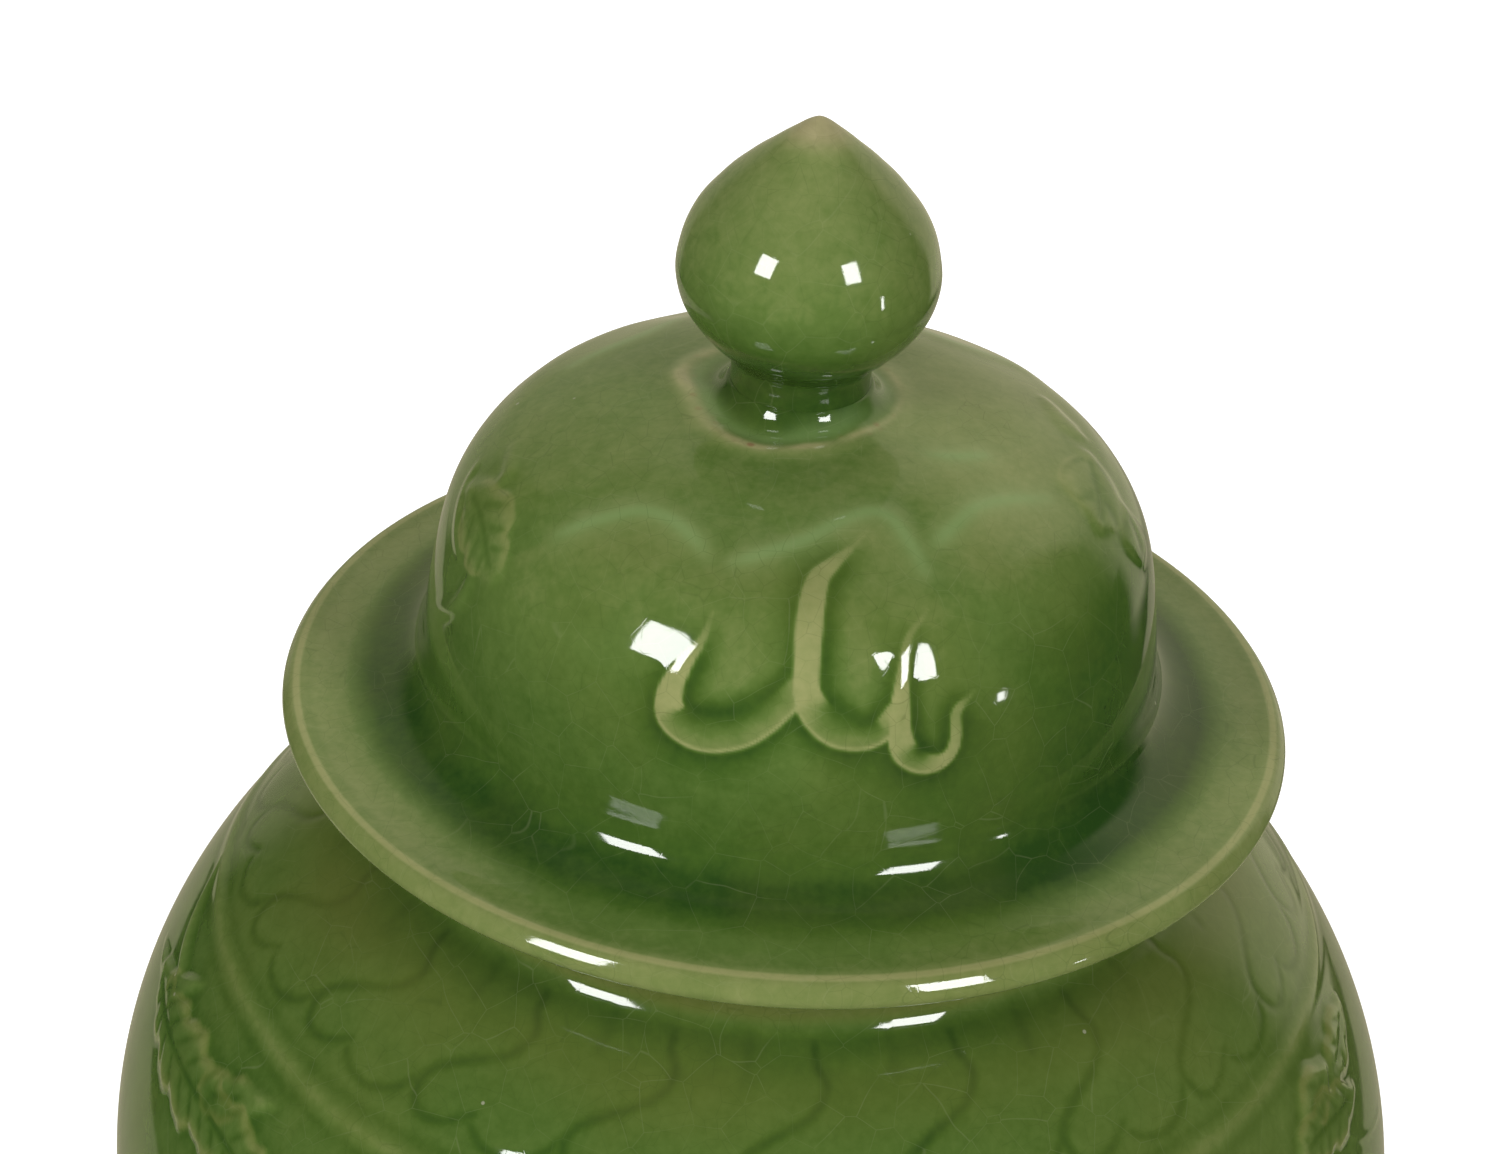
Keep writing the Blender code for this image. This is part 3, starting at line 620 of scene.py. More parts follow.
# Glaze by height, and by radius on the brim: 1 is pooled, -1 is thin
DOME_RUN = [(250, 0.8), (253, 0.66), (257, 0.48), (264, 0.36), (275, 0.2), (286, 0), (298, -0.12),
            (306, -0.15)]
BRIM_RUN = [(62, 0.78), (65, 0.92), (69.5, 0.85), (72, 0.5), (74.5, 0.12), (78, -0.08), (80.5, -0.14),
            (81.7, -0.36), (82.3, -1.15), (82.8, -1.15), (83.3, -0.5), (85, -0.42)]
# Glaze on the forms of the lid, and painted shade and sheen on its sides: how much darker, how much paler,
# and how olive
LID_POOLS = ((1.6, 0.3, 0.2), (5, 0.25, 0.2))
POOL_DARK, DARK_SOFT, VEIN_DARK, STEM_DARK, STEM_FADE = 0.8, 0.3, 0.35, 0.98, (18.5, 12)
MOUND_PALE, BOSS_PALE, RIDGE_PALE, SPRAY_PALE = 0.3, 0.8, 0.25, 0.45
CREST_PALE, RUSTY_PALE = 0.85, 1.25
# Painted shade on the dome's right side: darker lower down and in a band round the wall
DOME_SHADE_FLANK, DOME_PAINTED_SHADE, DOME_PAINTED_SHADE_Z = (16, 60, 175), 0.36, (296, 275)
SHADE, SHADE_Z, SHADE_WIDE = 0.34, 284, 7
# The dome's top right paler: partly thinner glaze, partly painted reflection
TOP_SHEEN_FLANK, TOP_PALE_AND_SHEEN, TOP_SHEEN_Z = (25, 65), 0.3, (293, 300)
# Painted sheen: the brim paler on its left and right sides
BRIM_SHEEN_FLANK, BRIM_LEFT_SHEEN, BRIM_RIGHT_SHEEN = (25, 55), 0.36, 0.26
BRIM_SHEEN_IN, BRIM_SHEEN_OUT = (70, 75), (82, 79)
OPAL_SHARE, MOUND_OLIVE, SPRAY_OLIVE, RIM_OLIVE, RIM_FADE = 0.75, 0.3, 0.25, 0.15, (81.5, 82.5)
RIDGE_RUST, RIDGE_BARE = 0.8, 0.22


def lid_grid():
    """The lid's grid, and how many of its rows are outside."""
    dome = [(r * DOME_R, BRIM_TOP + h * DOME_RISE) for r, h in DOME_OUTLINE]
    fillet = [(DOME_R + r * (BRIM_R - DOME_R), BRIM_TOP + h * DOME_RISE) for r, h in BRIM_FILLET]
    edge = [(BRIM_R - r * BRIM_THICK, BRIM_UNDER + h * BRIM_THICK) for r, h in BRIM_EDGE]
    outside = smooth([*dome, *fillet, *edge])
    outside[0, 0] = 0
    hollow_r, hollow_top, hollow_rise = DOME_R - DOME_WALL, DOME_TOP - DOME_WALL, DOME_RISE - DOME_WALL
    hollow = [(r * hollow_r, hollow_top - (1 - h) * hollow_rise) for r, h in DOME_OUTLINE[:-1]]
    inside = smooth([(FLANGE_BORE, BRIM_UNDER), *hollow[::-1]])
    inside[-1, 0] = 0
    outside = resample(outside, LID_STEP)
    under = resample([edge[-1], (FLANGE_BORE, BRIM_UNDER)], HIDDEN_STEP)
    profile = np.vstack([outside, under[1:], resample(inside, HIDDEN_STEP)[1:]])
    return Turned(profile, LID_COLUMNS), len(outside)


def mound_relief(grid, at, rows):
    """Low mounds above the cloud, and the milky lines along their edges."""
    mound, opal = np.zeros_like(grid.h), np.zeros_like(grid.h)
    at_back = [(turned([points], HALF_TURN)[0], height) for points, height in MOUNDS[:BACK_MOUNDS]]
    for points, height in MOUNDS + at_back:
        near = grid.near([(a, at(b), w) for a, b, w in points], rows, reach=MOUND_REACH)
        taper = ramp(near.half, *MOUND_TAPER)
        slope = np.where(near.side < 0, np.exp(-near.gap / MOUND_BELOW), hump(near.gap, MOUND_ABOVE))
        lay(mound, near, height * taper * slope)
        milky = sum(share * hump(near.gap, width) for share, width in (OPAL_LINE, OPAL_HAZE))
        lay(opal, near, taper * milky)
    return mound, opal


def boss_relief(grid, at):
    boss = np.zeros_like(grid.h)
    for angle, share, wide, tall, height in BOSSES:
        for turn in (0, HALF_TURN):
            round_way = (grid.degrees - angle - turn + 180) % 360 - 180
            across = np.radians(round_way)[None, :] * grid.r[:, None]
            boss = np.maximum(boss, height * hump(across, wide) * hump(grid.s[:, None] - at(share), tall))
    return boss


def stem_ridge(grid, on_outside):
    """Distance from the knob's axis, the ridge round it, its broken crest and the milky line inside it."""
    x, y = grid.r[:, None] * np.sin(grid.angle) - KNOB_SHIFT, grid.r[:, None] * np.cos(grid.angle)
    from_axis, turn = np.hypot(x, y), np.degrees(np.arctan2(x, y))
    ridge_angles, ridge_radii = smooth(STEM_RIDGE).T
    from_ridge = from_axis - np.interp(turn, ridge_angles, ridge_radii)
    strength = RIDGE_FAINT + (1 - RIDGE_FAINT) * ramp(np.abs(turn - RIDGE_MIDDLE), *RIDGE_FADE)
    strength = strength * on_outside
    breaks, shift, shift_turns = RIDGE_BREAKS
    wave = np.sin(np.radians(turn) * breaks + shift * np.sin(np.radians(turn) * shift_turns))
    broken = 1 - BREAK_DEPTH + BREAK_DEPTH * wave
    width = RIDGE_CREST + CREST_WIDER * ramp(turn, *WIDER_FROM)
    crest = hump(from_ridge + RIDGE_CREST_IN, width) * strength * broken
    share, inwards, inside_width = INSIDE_RIDGE
    inside = share * hump(from_ridge + inwards, inside_width) * strength
    return from_axis, hump(from_ridge, RIDGE_WIDTH) * strength, crest, inside


def make_lid(material):
    grid, shown = lid_grid()
    rows = (0, int(np.argmax(grid.r[:shown] > BRIM_R - BRIM_ROLL)))
    at = grid.finder(rows, BRIM_TOP, DOME_RISE)
    on_outside = (np.arange(len(grid.s)) < shown)[:, None]
    on_dome = on_outside * ramp(grid.r - DOME_R, *DOME_FOOT)[:, None]

    lift, crest, pool = cloud_relief(grid, CLOUD + turned(CLOUD, HALF_TURN), at, rows)
    spray, veins, border = leaf_pair(grid, at, rows, (LEFT_SPRAY, *LEFT_STYLE), (RIGHT_SPRAY, *RIGHT_STYLE))
    mound, opal = mound_relief(grid, at, rows)
    boss = boss_relief(grid, at)
    from_axis, ridge, ridge_crest, inside_ridge = stem_ridge(grid, on_outside)

    relief = CLOUD_HEIGHT * grid.blur(lift, CLOUD_SOFT) - POOL_DEPTH * grid.blur(pool, POOL_SOFT)
    relief += SPRAY_HEIGHT * grid.blur(spray - SPRAY_VEINS * veins, SPRAY_SOFT)
    relief += grid.blur(MOUND_HEIGHT * mound, MOUND_SOFT) + BOSS_HEIGHT * boss * on_dome
    relief = relief * on_dome + RIDGE_HEIGHT * ridge
    flare = STEM_FLARE * np.clip((FLARE_START - from_axis) / FLARE_WIDTH, 0, 1) ** 3
    wobble = waves(grid.angle, LID_WOBBLE)[None, :] * ramp(grid.r, *WOBBLE_FADE)[:, None]
    grid.h = (relief + flare + wobble) * on_outside

    run = np.interp(grid.z, *zip(*DOME_RUN))
    brim = np.interp(grid.r, *zip(*BRIM_RUN))
    share = ramp(grid.r - DOME_R, *FOOT_BLEND)
    run = (run * (1 - share) + brim * share)[:, None] * on_outside
    # Painted shade: the dome's right side darker lower down and in a band
    darker = DOME_PAINTED_SHADE * ramp(grid.z, *DOME_PAINTED_SHADE_Z)
    darker += SHADE * hump(grid.z - SHADE_Z, SHADE_WIDE)
    glaze = run + flank(grid.degrees, *DOME_SHADE_FLANK) * on_dome * darker[:, None]
    glaze += sum(pooled(grid, relief, *settings) for settings in LID_POOLS)
    glaze += POOL_DARK * grid.blur(pool, DARK_SOFT) + VEIN_DARK * veins
    glaze -= MOUND_PALE * mound + BOSS_PALE * boss + RIDGE_PALE * ridge + SPRAY_PALE * border
    glaze = glaze * (1 - crest) - CREST_PALE * crest
    # The dome's top right paler: partly thinner glaze, partly painted reflection
    glaze -= TOP_PALE_AND_SHEEN * flank(grid.degrees, *TOP_SHEEN_FLANK) * on_outside * ramp(grid.z, *TOP_SHEEN_Z)[:, None]
    # Painted sheen on the brim's left and right sides
    brim_sheen = np.where(grid.degrees < 0, BRIM_LEFT_SHEEN, BRIM_RIGHT_SHEEN)[None, :]
    on_brim = (ramp(grid.r, *BRIM_SHEEN_IN) * ramp(grid.r, *BRIM_SHEEN_OUT))[:, None] * on_outside
    glaze -= brim_sheen * flank(np.abs(grid.degrees), *BRIM_SHEEN_FLANK) * on_brim
    glaze += STEM_DARK * ramp(from_axis, *STEM_FADE) * on_outside
    glaze = glaze * (1 - ridge_crest) - RUSTY_PALE * ridge_crest

    opal = OPAL_SHARE * np.maximum(opal * on_dome, inside_ridge) * (1 - ridge_crest)
    olive = MOUND_OLIVE * mound * (1 - opal) + SPRAY_OLIVE * border
    olive += RIM_OLIVE * ramp(grid.r, *RIM_FADE)[:, None]
    fields = {"glaze": np.clip(glaze, -1, 1), "opal": opal, "olive": olive,
              "rust": RIDGE_RUST * ridge_crest, "bare": RIDGE_BARE * ridge_crest}
    return grid.build("lid", material, fields)


FLANGE_STEP, FLANGE_COLUMNS, FLANGE_OVERLAP = 1.2, 240, 0.5
FLANGE_RINGS, FLANGE_RING, FLANGE_GLAZE, FLANGE_BARE = 3, 0.03, 0.1, (3.1, 1.6)


def make_flange(material):
    bore, radius, low, top = FLANGE_BORE, FLANGE_R, FLANGE_LOW, BRIM_UNDER + FLANGE_OVERLAP
    loop = [(bore, top), (radius, top), (radius, low + 1.8), (radius - 0.5, low + 0.6), (radius - 1.7, low),
            (bore + 1.7, low), (bore + 0.5, low + 0.6), (bore, low + 1.8), (bore, top)]
    grid = Turned(resample(loop, FLANGE_STEP)[:-1], FLANGE_COLUMNS)
    grid.h += FLANGE_RING * np.sin(grid.z[:, None] * FLANGE_RINGS)
    bare = ramp(grid.z - low, *FLANGE_BARE)[:, None]
    fields = {"glaze": np.full_like(bare, FLANGE_GLAZE), "bare": bare}
    return grid.build("lid_flange_ring", material, fields)


KNOB_STEP, KNOB_COLUMNS = 0.5, 420
KNOB_RUN = [(304, 0.9), (311, 0.8), (315, 0.74), (319, 0.64), (324, 0.32), (330, -0.08), (337, -0.24),
            (345, -0.32), (350, -0.36), (353.5, -0.9), (356, -1)]
THROWING, THROWING_RINGS, THROWING_DRIFT = 0.02, 1.1, ((0.6, 1, 0.9),)
KNOB_OVAL, OVAL_FADE, KNOB_RELIEF_Z = ((0.14, 2, 0.8),), (4, 18), (306, 310)
# Painted shade on the knob's right side
KNOB_SHADE_FLANK, KNOB_PAINTED_SHADE, KNOB_SHADE_R = (20, 90, 175), 0.08, (4, 14)
TIP_Z, TIP_BARE = (350.5, 354), 0.4


def make_knob(material):
    bud = [(r * BUD_R, BUD_BASE + h * BUD_H) for r, h in BUD_OUTLINE]
    line = resample(smooth([*bud, *STEM_OUTLINE]), KNOB_STEP)
    line[0, 0] = 0
    grid = Turned(np.vstack([line, STEM_END]), KNOB_COLUMNS)
    throwing = THROWING * np.sin(grid.s[:, None] * THROWING_RINGS + waves(grid.angle, THROWING_DRIFT))
    oval = waves(grid.angle, KNOB_OVAL)[None, :] * ramp(grid.r, *OVAL_FADE)[:, None]
    grid.h = (throwing + oval) * ramp(grid.z, *KNOB_RELIEF_Z)[:, None]
    run = np.interp(grid.z, *zip(*KNOB_RUN))[:, None]
    # Painted shade on the knob's right side
    right = KNOB_PAINTED_SHADE * flank(grid.degrees, *KNOB_SHADE_FLANK) * ramp(grid.r, *KNOB_SHADE_R)[:, None]
    fields = {"glaze": np.clip(run + right, -1, 1), "bare": TIP_BARE * ramp(grid.z, *TIP_Z)[:, None]}
    return grid.build("knob", material, fields, shift=KNOB_SHIFT)


# The jar

INSIDE_STEP, LIP_STEP, SHOULDER_STEP, BELLY_STEP, UNDER_STEP, JAR_COLUMNS = 4, 0.6, 0.5, 1, 6, 1080
SHOULDER_LOW, LIP_STEPS, AT_TOP = 14, 8, 0.05
LEFT_LEAF_STYLE, RIGHT_LEAF_STYLE, STEMLESS = (1.6, 0.12, 9, 1), (1.6, 0.1, 9, 1), 3
RING_DRIFT = ((0.5, 2, 0.3), (0.3, 5, 1.2), (0.15, 11, 0.4))
RING_WIDTH, RING_SIDE, SIDE_WIDTH = 1.6, 3.2, 1.1
LEAF_HEIGHT, VEIN_DEPTH, GROOVE_DEPTH = 0.95, 0.25, 0.1
RING_HEIGHT, SIDE_DEPTH, JAR_SOFT = 0.35, 0.05, 0.4
FRONT_SWELL, SWELL_Z, SWELL_WIDE, SWELL_SIDES = 1.5, 200, 14, (62, 40)
# Glaze by height; from about 230 up the neck is paler, partly thin glaze and partly painted light in the
# brim's shadow
BODY_RUN = [(8, 0.35), (20, 0.45), (60, 0.25), (150, 0.25), (205, 0.26), (220, 0.32), (225, 0.55),
            (227.5, 0.7), (229, 0.35), (230.5, -0.1), (233, -0.38), (244, -0.4)]
# Glaze on the forms of the jar, and painted sheen on its sides: how much darker, how much paler, and how
# olive
JAR_POOL, GROOVE_DARK, SIDE_DARK, LEAF_VEIN_DARK = (2, 0.9, 0.6), 0.48, 0.16, 0.35
# The jar's right and left sides paler: painted sheen
RING_PALE, LEAF_PALE, RIGHT_SHEEN, LEFT_SHEEN = 0.2, 0.52, 0.2, 0.06
# Where the painted sheen lies: degrees round from the front, and heights at which it fades in on the right
# and the left
BODY_SHEEN_FLANK, RIGHT_SHEEN_FADE, LEFT_SHEEN_FADE = (20, 60), (170, 200), (195, 210)
# The olive of the sides is painted sheen; the neck's olive is partly thin glaze, partly painted light in the
# brim's shadow
LEAF_OLIVE, LEFT_SHEEN_OLIVE, RIGHT_SHEEN_OLIVE, RING_OLIVE, NECK_OLIVE_AND_LIGHT, BAND_OLIVE = 0.45, 0.12, 0.2, 0.1, 0.5, 0.3
NECK_FADE, BAND_R, BAND_WIDE, BAND_FADE = (229, 231), 78, 6, (195, 208)
DRIP, BARE_FADE = ((1.2, 3, 0.2), (0.8, 7, 1.9), (0.5, 13, 0.6)), (14.2, 13.2)


def vessel_grid():
    """The jar's grid, and the rows between which it is outside."""
    inner_top = math.degrees(math.acos(NECK_BORE / (BELLY_R - WALL)))
    inner_low = -math.degrees(math.asin((BELLY_Z - FLOOR_Z - FLOOR_CORNER) / (LOWER_DROP - WALL)))
    lower_in = ellipse(inner_low, 0, WALL, LOWER_DROP)
    upper_in = ellipse(0, inner_top, WALL)
    floor = [(0, FLOOR_Z), (lower_in[0, 0] - FLOOR_CORNER, FLOOR_Z)]
    inside = np.vstack([floor, lower_in, upper_in[1:]])
    shoulder = ellipse(math.degrees(math.acos(SHOULDER_END / BELLY_R)), SHOULDER_LOW)
    lip = smooth([inside[-1], (NECK_BORE, NECK_TOP - 9), (NECK_BORE + 0.2, NECK_TOP - 2),
                  (NECK_BORE + 1.6, NECK_TOP - 0.2), (64.5, NECK_TOP), (66.6, NECK_TOP - 0.2),
                  (67.9, NECK_TOP - 1.8), (NECK_R, 237), (NECK_R, 233), (68.7, 230.2), (70.4, 228),
                  shoulder[0]], LIP_STEPS)
    low = -math.degrees(math.asin((BELLY_Z - BODY_BASE) / LOWER_DROP))
    belly = np.vstack([ellipse(SHOULDER_LOW, 0), ellipse(0, low, 0, LOWER_DROP)[1:]])
    under = [belly[-1], (0, BODY_BASE)]
    lines = ((inside, INSIDE_STEP), (lip, LIP_STEP), (shoulder, SHOULDER_STEP), (belly, BELLY_STEP),
             (under, UNDER_STEP))
    parts = [resample(line, step) for line, step in lines]
    profile = np.vstack([parts[0], *[part[1:] for part in parts[1:]]])
    profile[0, 0] = profile[-1, 0] = 0
    grid = Turned(profile, JAR_COLUMNS)
    last = sum(len(part) - 1 for part in parts[:-1])
    return grid, (int(np.argmax(grid.z > NECK_TOP - AT_TOP)), last)


def band_grooves(grid, rows):
    """Incised lines of the band, repeated round the shoulder."""
    grooves = np.zeros_like(grid.h)
    down = slice(rows[0], int(np.argmax(grid.r)))
    radii, places = np.maximum.accumulate(grid.r[down]), grid.s[down]
    for points, depth in BAND_LINES:
        placed = [(a, float(np.interp(r, radii, places)), w) for a, r, w in points]
        near = grid.near(placed, rows, wrap=(360 / BAND_REPEATS, BAND_START))
        lay(grooves, near, depth * hump(near.gap, np.maximum(near.half, LEAST_GROOVE)))
    return grooves


def make_vessel(material):
    grid, rows = vessel_grid()
    at = grid.finder(rows, BELLY_Z, SHOULDER_RISE)
    on_outside = np.zeros((len(grid.s), 1))
    on_outside[slice(*rows)] = 1

    grooves = band_grooves(grid, rows)
    drift = waves(grid.angle, RING_DRIFT)[None, :]
    from_ring = grid.s[:, None] - at((RING_Z - BELLY_Z) / SHOULDER_RISE) + drift
    ring = hump(from_ring, RING_WIDTH) * on_outside
    above, below = hump(from_ring - RING_SIDE, SIDE_WIDTH), hump(from_ring + RING_SIDE, SIDE_WIDTH)
    beside = (above + below) * on_outside
    left_leaves = LEFT_LEAF + turned(LEFT_LEAF[:STEMLESS], LEFT_TURN)
    right_leaves = RIGHT_LEAF + turned(RIGHT_LEAF, RIGHT_TURN)
    left, right = (left_leaves, *LEFT_LEAF_STYLE), (right_leaves, *RIGHT_LEAF_STYLE)
    leaves, veins, border = leaf_pair(grid, at, rows, left, right)
    relief = RING_HEIGHT * ring + LEAF_HEIGHT * leaves - VEIN_DEPTH * veins - GROOVE_DEPTH * grooves
    relief = grid.blur(relief - SIDE_DEPTH * beside, JAR_SOFT) * on_outside
    from_swell = grid.s - at((SWELL_Z - BELLY_Z) / SHOULDER_RISE)
    in_front = ramp(np.abs(grid.degrees), *SWELL_SIDES)[None, :]
    swell = FRONT_SWELL * hump(from_swell, SWELL_WIDE)[:, None] * in_front
    grid.h = relief + swell * on_outside

    # Painted sheen: the upper jar paler and more olive on its right and left sides
    right_sheen = flank(grid.degrees, *BODY_SHEEN_FLANK) * ramp(grid.z, *RIGHT_SHEEN_FADE)[:, None] * on_outside
    left_sheen = flank(-grid.degrees, *BODY_SHEEN_FLANK) * ramp(grid.z, *LEFT_SHEEN_FADE)[:, None] * on_outside
    glaze = np.interp(grid.z, *zip(*BODY_RUN))[:, None] * on_outside + pooled(grid, relief, *JAR_POOL)
    glaze += GROOVE_DARK * grid.blur(grooves, JAR_SOFT) + SIDE_DARK * beside + LEAF_VEIN_DARK * veins
    glaze -= RING_PALE * ring + LEAF_PALE * border + RIGHT_SHEEN * right_sheen + LEFT_SHEEN * left_sheen
    on_neck = ramp(grid.z, *NECK_FADE)[:, None] * on_outside
    on_band = (hump(grid.r - BAND_R, BAND_WIDE) * ramp(grid.z, *BAND_FADE))[:, None] * on_outside
    olive = LEAF_OLIVE * border + LEFT_SHEEN_OLIVE * left_sheen + RIGHT_SHEEN_OLIVE * right_sheen
    # The neck's olive is partly thin glaze, partly painted light in the brim's shadow
    olive += RING_OLIVE * ring + NECK_OLIVE_AND_LIGHT * on_neck + BAND_OLIVE * on_band
    drip = waves(grid.angle, DRIP)[None, :]
    bare = ramp(grid.z[:, None] + drip, *BARE_FADE) * (np.arange(len(grid.s)) > rows[0])[:, None]
    fields = {"glaze": np.clip(glaze, -1, 1), "olive": olive, "bare": bare}
    return grid.build("jar_vessel", material, fields)


FOOT_STEP, FOOT_COLUMNS, FOOT_OVERLAP = 0.9, 360, 0.3
FOOT_RING, FOOT_RINGS, FOOT_DRIFT, FOOT_RING_Z = 0.04, 2.1, ((0.7, 2, 0.1),), (0.5, 2)


def make_foot(material):
    outer, inner, top = FOOT_R, FOOT_BORE, BODY_BASE + FOOT_OVERLAP
    loop = [(inner, top), (outer, top), (outer - 0.3, 7), (outer - 0.6, 4.2), (outer - 0.9, 1.6),
            (outer - 1.6, 0.35), (outer - 2.6, 0), (inner + 2.2, 0), (inner + 0.9, 0.4), (inner + 0.1, 1.7),
            (inner, top)]
    grid = Turned(resample(loop, FOOT_STEP)[:-1], FOOT_COLUMNS)
    rings = np.sin(grid.s[:, None] * FOOT_RINGS + waves(grid.angle, FOOT_DRIFT))
    grid.h = FOOT_RING * rings * ramp(grid.z, *FOOT_RING_Z)[:, None]
    return grid.build("foot", material)


# Studio

CAMERA_AWAY, BRIM_MIDDLE = 765, 246.5
ELEVATION, PITCH, YAW, ROLL = 33.08, 31.605, -0.659, 4.081
LENS_PIXELS, IMAGE_WIDTH, SENSOR = 4511.36, 1500, 36
CLIP_START, CLIP_END = 0.01, 50


def make_camera():
    data = bpy.data.cameras.new("camera")
    data.sensor_fit = "HORIZONTAL"
    data.sensor_width = SENSOR
    data.lens = LENS_PIXELS / IMAGE_WIDTH * SENSOR
    data.clip_start, data.clip_end = CLIP_START, CLIP_END
    camera = add_object("camera", data)
    tilt, pitch, yaw, roll = (math.radians(v) for v in (ELEVATION, PITCH, YAW, ROLL))
    ahead = Vector((math.sin(yaw) * math.cos(pitch), math.cos(yaw) * math.cos(pitch), -math.sin(pitch)))
    level = Vector((math.cos(yaw), -math.sin(yaw), 0))
    upright = level.cross(ahead)
    right = level * math.cos(roll) + upright * math.sin(roll)
    up = upright * math.cos(roll) - level * math.sin(roll)
    height = CAMERA_AWAY * math.sin(tilt) + BRIM_MIDDLE
    place = Vector((0, -CAMERA_AWAY * math.cos(tilt), height)) * MM
    camera.matrix_world = Matrix.Translation(place) @ Matrix((right, up, -ahead)).transposed().to_4x4()
    bpy.context.scene.camera = camera


LAMP_DISTANCE, LAMP_AIM = 1.6, Vector((0, 0, 0.26))
# Name, degrees round from the front, degrees up, width and height in metres, brightness of the face
LAMPS = [("left_softbox", -43, 29, 0.42, 0.54, 22), ("right_softbox", 41, 29, 0.38, 0.52, 22),
         ("side_lamp", 66, -4, 0.07, 0.12, 20), ("back_light", 180, 30, 1.2, 0.7, 4)]
UNSEEN_LAMP = "back_light"


def make_lamp(name, azimuth, elevation, width, height, brightness):
    data = bpy.data.lights.new(name, "AREA")
    data.shape = "RECTANGLE"
    data.size, data.size_y = width, height
    data.energy = brightness * math.pi * width * height
    lamp = add_object(name, data)
    a, e = math.radians(azimuth), math.radians(elevation)
    way = Vector((math.sin(a) * math.cos(e), -math.cos(a) * math.cos(e), math.sin(e)))
    lamp.location = LAMP_AIM + way * LAMP_DISTANCE
    lamp.rotation_euler = (-way).to_track_quat("-Z", "Y").to_euler()
    lamp.visible_camera = False
    lamp.visible_glossy = name != UNSEEN_LAMP


# What the glaze mirrors: a pale wall behind, a dim ceiling, a sheet on the floor and a dark room in front
WALL_LEFT, WALL_RIGHT, CEILING, DARK_ROOM = 0.34, 0.75, 0.14, 0.03
WARM_WHITE, WHITE = (1, 0.91, 0.63), (1, 1, 1)
WALL_SPREAD, WALL_TOP, CEILING_START, CEILING_BACK = 0.9, (0.66, 0.84), (0.74, 0.9), (0, 0.3)
# Degrees from the front at which the wall starts on the left and the right, and how softly
WALL_STARTS, FLOOR_STARTS = (138, 124, 8), (138, 127, 4)
SOFT_SHARE, SOFT_LEAST = 0.45, 0.17
# Sheet on the floor, in metres
SHEET_BRIGHT, SHEET_HALF, SHEET_MIDDLE, SHEET_EDGE, SHEET_FRONT = 0.4, 0.395, -0.025, 0.01, (0, 0.12)
FAR_FLOOR = (0.6, 0.85)
FLOOR_HALF, FLOOR_GLOW, FLOOR_GREY = 12, 0.62, (0.86, 0.86, 0.86)


def behind(net, x, y, left_start, right_start, soft):
    """Brightness of the wall, which starts at an angle from the front on each side."""
    turn = net.math("ARCTAN2", x, net.times(y, -1))
    left, right, soft = (math.radians(v) for v in (left_start, right_start, soft))
    on_right = net.fade(turn, right - soft, right + soft)
    on_left = net.fade(turn, -left - soft, -left + soft, 1, 0)
    across = net.math("DIVIDE", x, net.math("ABSOLUTE", y))
    brightness = net.fade(across, -WALL_SPREAD, WALL_SPREAD, WALL_LEFT, WALL_RIGHT)
    return net.times(net.most(on_left, on_right), brightness)


def make_world():
    """White to the camera, the dim room to glossy rays and a softer one to the rest."""
    world = bpy.data.worlds.new("studio")
    bpy.context.scene.world = world
    net = Net(world, "Generated")
    x, y, z = net.add("ShaderNodeSeparateXYZ", {0: net.place}).outputs
    ceiling = net.times(net.fade(z, *CEILING_START, 0, CEILING), net.fade(y, *CEILING_BACK))
    wall = net.times(behind(net, x, y, *WALL_STARTS), net.fade(z, *WALL_TOP, 1, 0))
    room = net.most(net.most(wall, ceiling), DARK_ROOM)
    path = net.add("ShaderNodeLightPath").outputs
    inputs = {0: path["Is Glossy Ray"], 2: net.scaled(room, SOFT_SHARE, SOFT_LEAST), 3: room}
    seen = net.add("ShaderNodeMix", inputs).outputs[0]
    seen = net.add("ShaderNodeMix", {0: path["Is Camera Ray"], 2: seen, 3: 1}).outputs[0]
    colour = net.mix(path["Is Glossy Ray"], WHITE, WARM_WHITE)
    net.show("ShaderNodeOutputWorld", net.add("ShaderNodeBackground", {"Color": colour, "Strength": seen}))


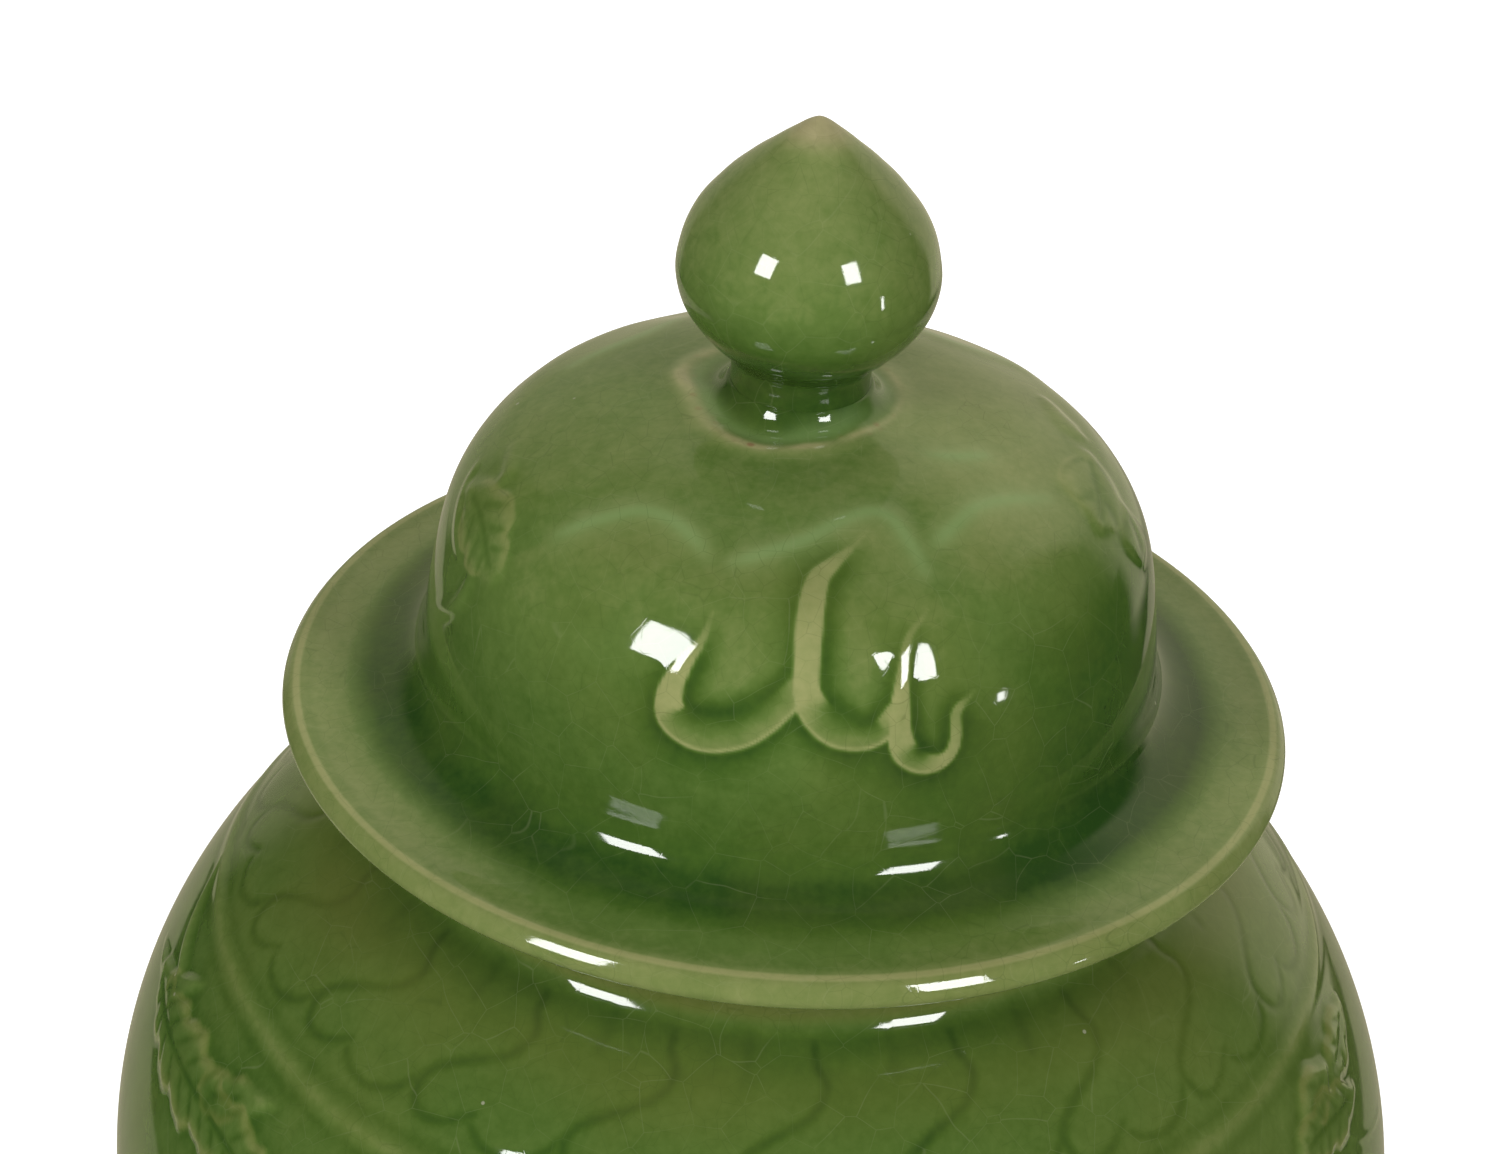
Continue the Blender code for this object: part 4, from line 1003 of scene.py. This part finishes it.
def floor_material():
    """White to the camera with the object's shadow, and the sheet and the far wall to glossy rays."""
    material, net = new_material("floor")
    path = net.add("ShaderNodeLightPath").outputs
    x, y, _ = net.add("ShaderNodeSeparateXYZ", {0: net.place}).outputs
    matt = net.add("ShaderNodeBsdfDiffuse", {"Color": (*FLOOR_GREY, 1)})
    shown = net.times(path["Is Camera Ray"], FLOOR_GLOW)
    white = net.add("ShaderNodeEmission", {"Color": (*WHITE, 1), "Strength": shown})
    lit = net.add("ShaderNodeAddShader", {0: matt.outputs[0], 1: white.outputs[0]})
    away = net.math("SQRT", net.scaled(x, x, net.times(y, y)))
    distant = net.times(net.fade(away, *FAR_FLOOR), behind(net, x, y, *FLOOR_STARTS))
    aside = net.math("ABSOLUTE", net.math("SUBTRACT", x, SHEET_MIDDLE))
    aside = net.fade(aside, SHEET_HALF - SHEET_EDGE, SHEET_HALF + SHEET_EDGE, SHEET_BRIGHT, 0)
    sheet = net.times(aside, net.fade(y, *SHEET_FRONT))
    mirrored = net.most(net.most(sheet, distant), DARK_ROOM)
    image = net.add("ShaderNodeEmission", {"Color": (*WARM_WHITE, 1), "Strength": mirrored})
    shaders = {0: path["Is Glossy Ray"], 1: lit.outputs[0], 2: image.outputs[0]}
    net.show("ShaderNodeOutputMaterial", net.add("ShaderNodeMixShader", shaders))
    return material


def make_floor():
    mesh = bpy.data.meshes.new("floor")
    corners = [(-1, -1), (1, -1), (1, 1), (-1, 1)]
    mesh.from_pydata([(x * FLOOR_HALF, y * FLOOR_HALF, 0) for x, y in corners], [], [(0, 1, 2, 3)])
    floor = add_object("floor", mesh)
    mesh.materials.append(floor_material())


def main():
    make_camera()
    make_world()
    make_floor()
    for lamp in LAMPS:
        make_lamp(*lamp)
    jar_glaze = glaze_material("jar_glaze_look")
    lid_glaze = glaze_material("lid_glaze_look")
    clay = clay_material("bare_clay_look")
    jar_nodes = ("jar_body", "neck_ring", "shoulder_ring", "left_leaf_spray", "right_leaf_spray")
    lid_nodes = ("lid_shell", "cloud_scroll", "left_dome_spray", "right_dome_spray")
    for piece, body, slot, nodes in (
        (make_vessel(jar_glaze), "jar", "jar_glaze", jar_nodes),
        (make_foot(clay), "jar", "bare_clay", ("foot_ring",)),
        (make_lid(lid_glaze), "lid", "lid_glaze", lid_nodes),
        (make_flange(lid_glaze), "lid", "lid_glaze", ("lid_flange",)),
        (make_knob(lid_glaze), "lid", "lid_glaze", ("finial_stem", "finial_bud")),
    ):
        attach(piece, body)
        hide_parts(*nodes)
    bpy.context.scene.view_settings.view_transform = "Standard"


main()
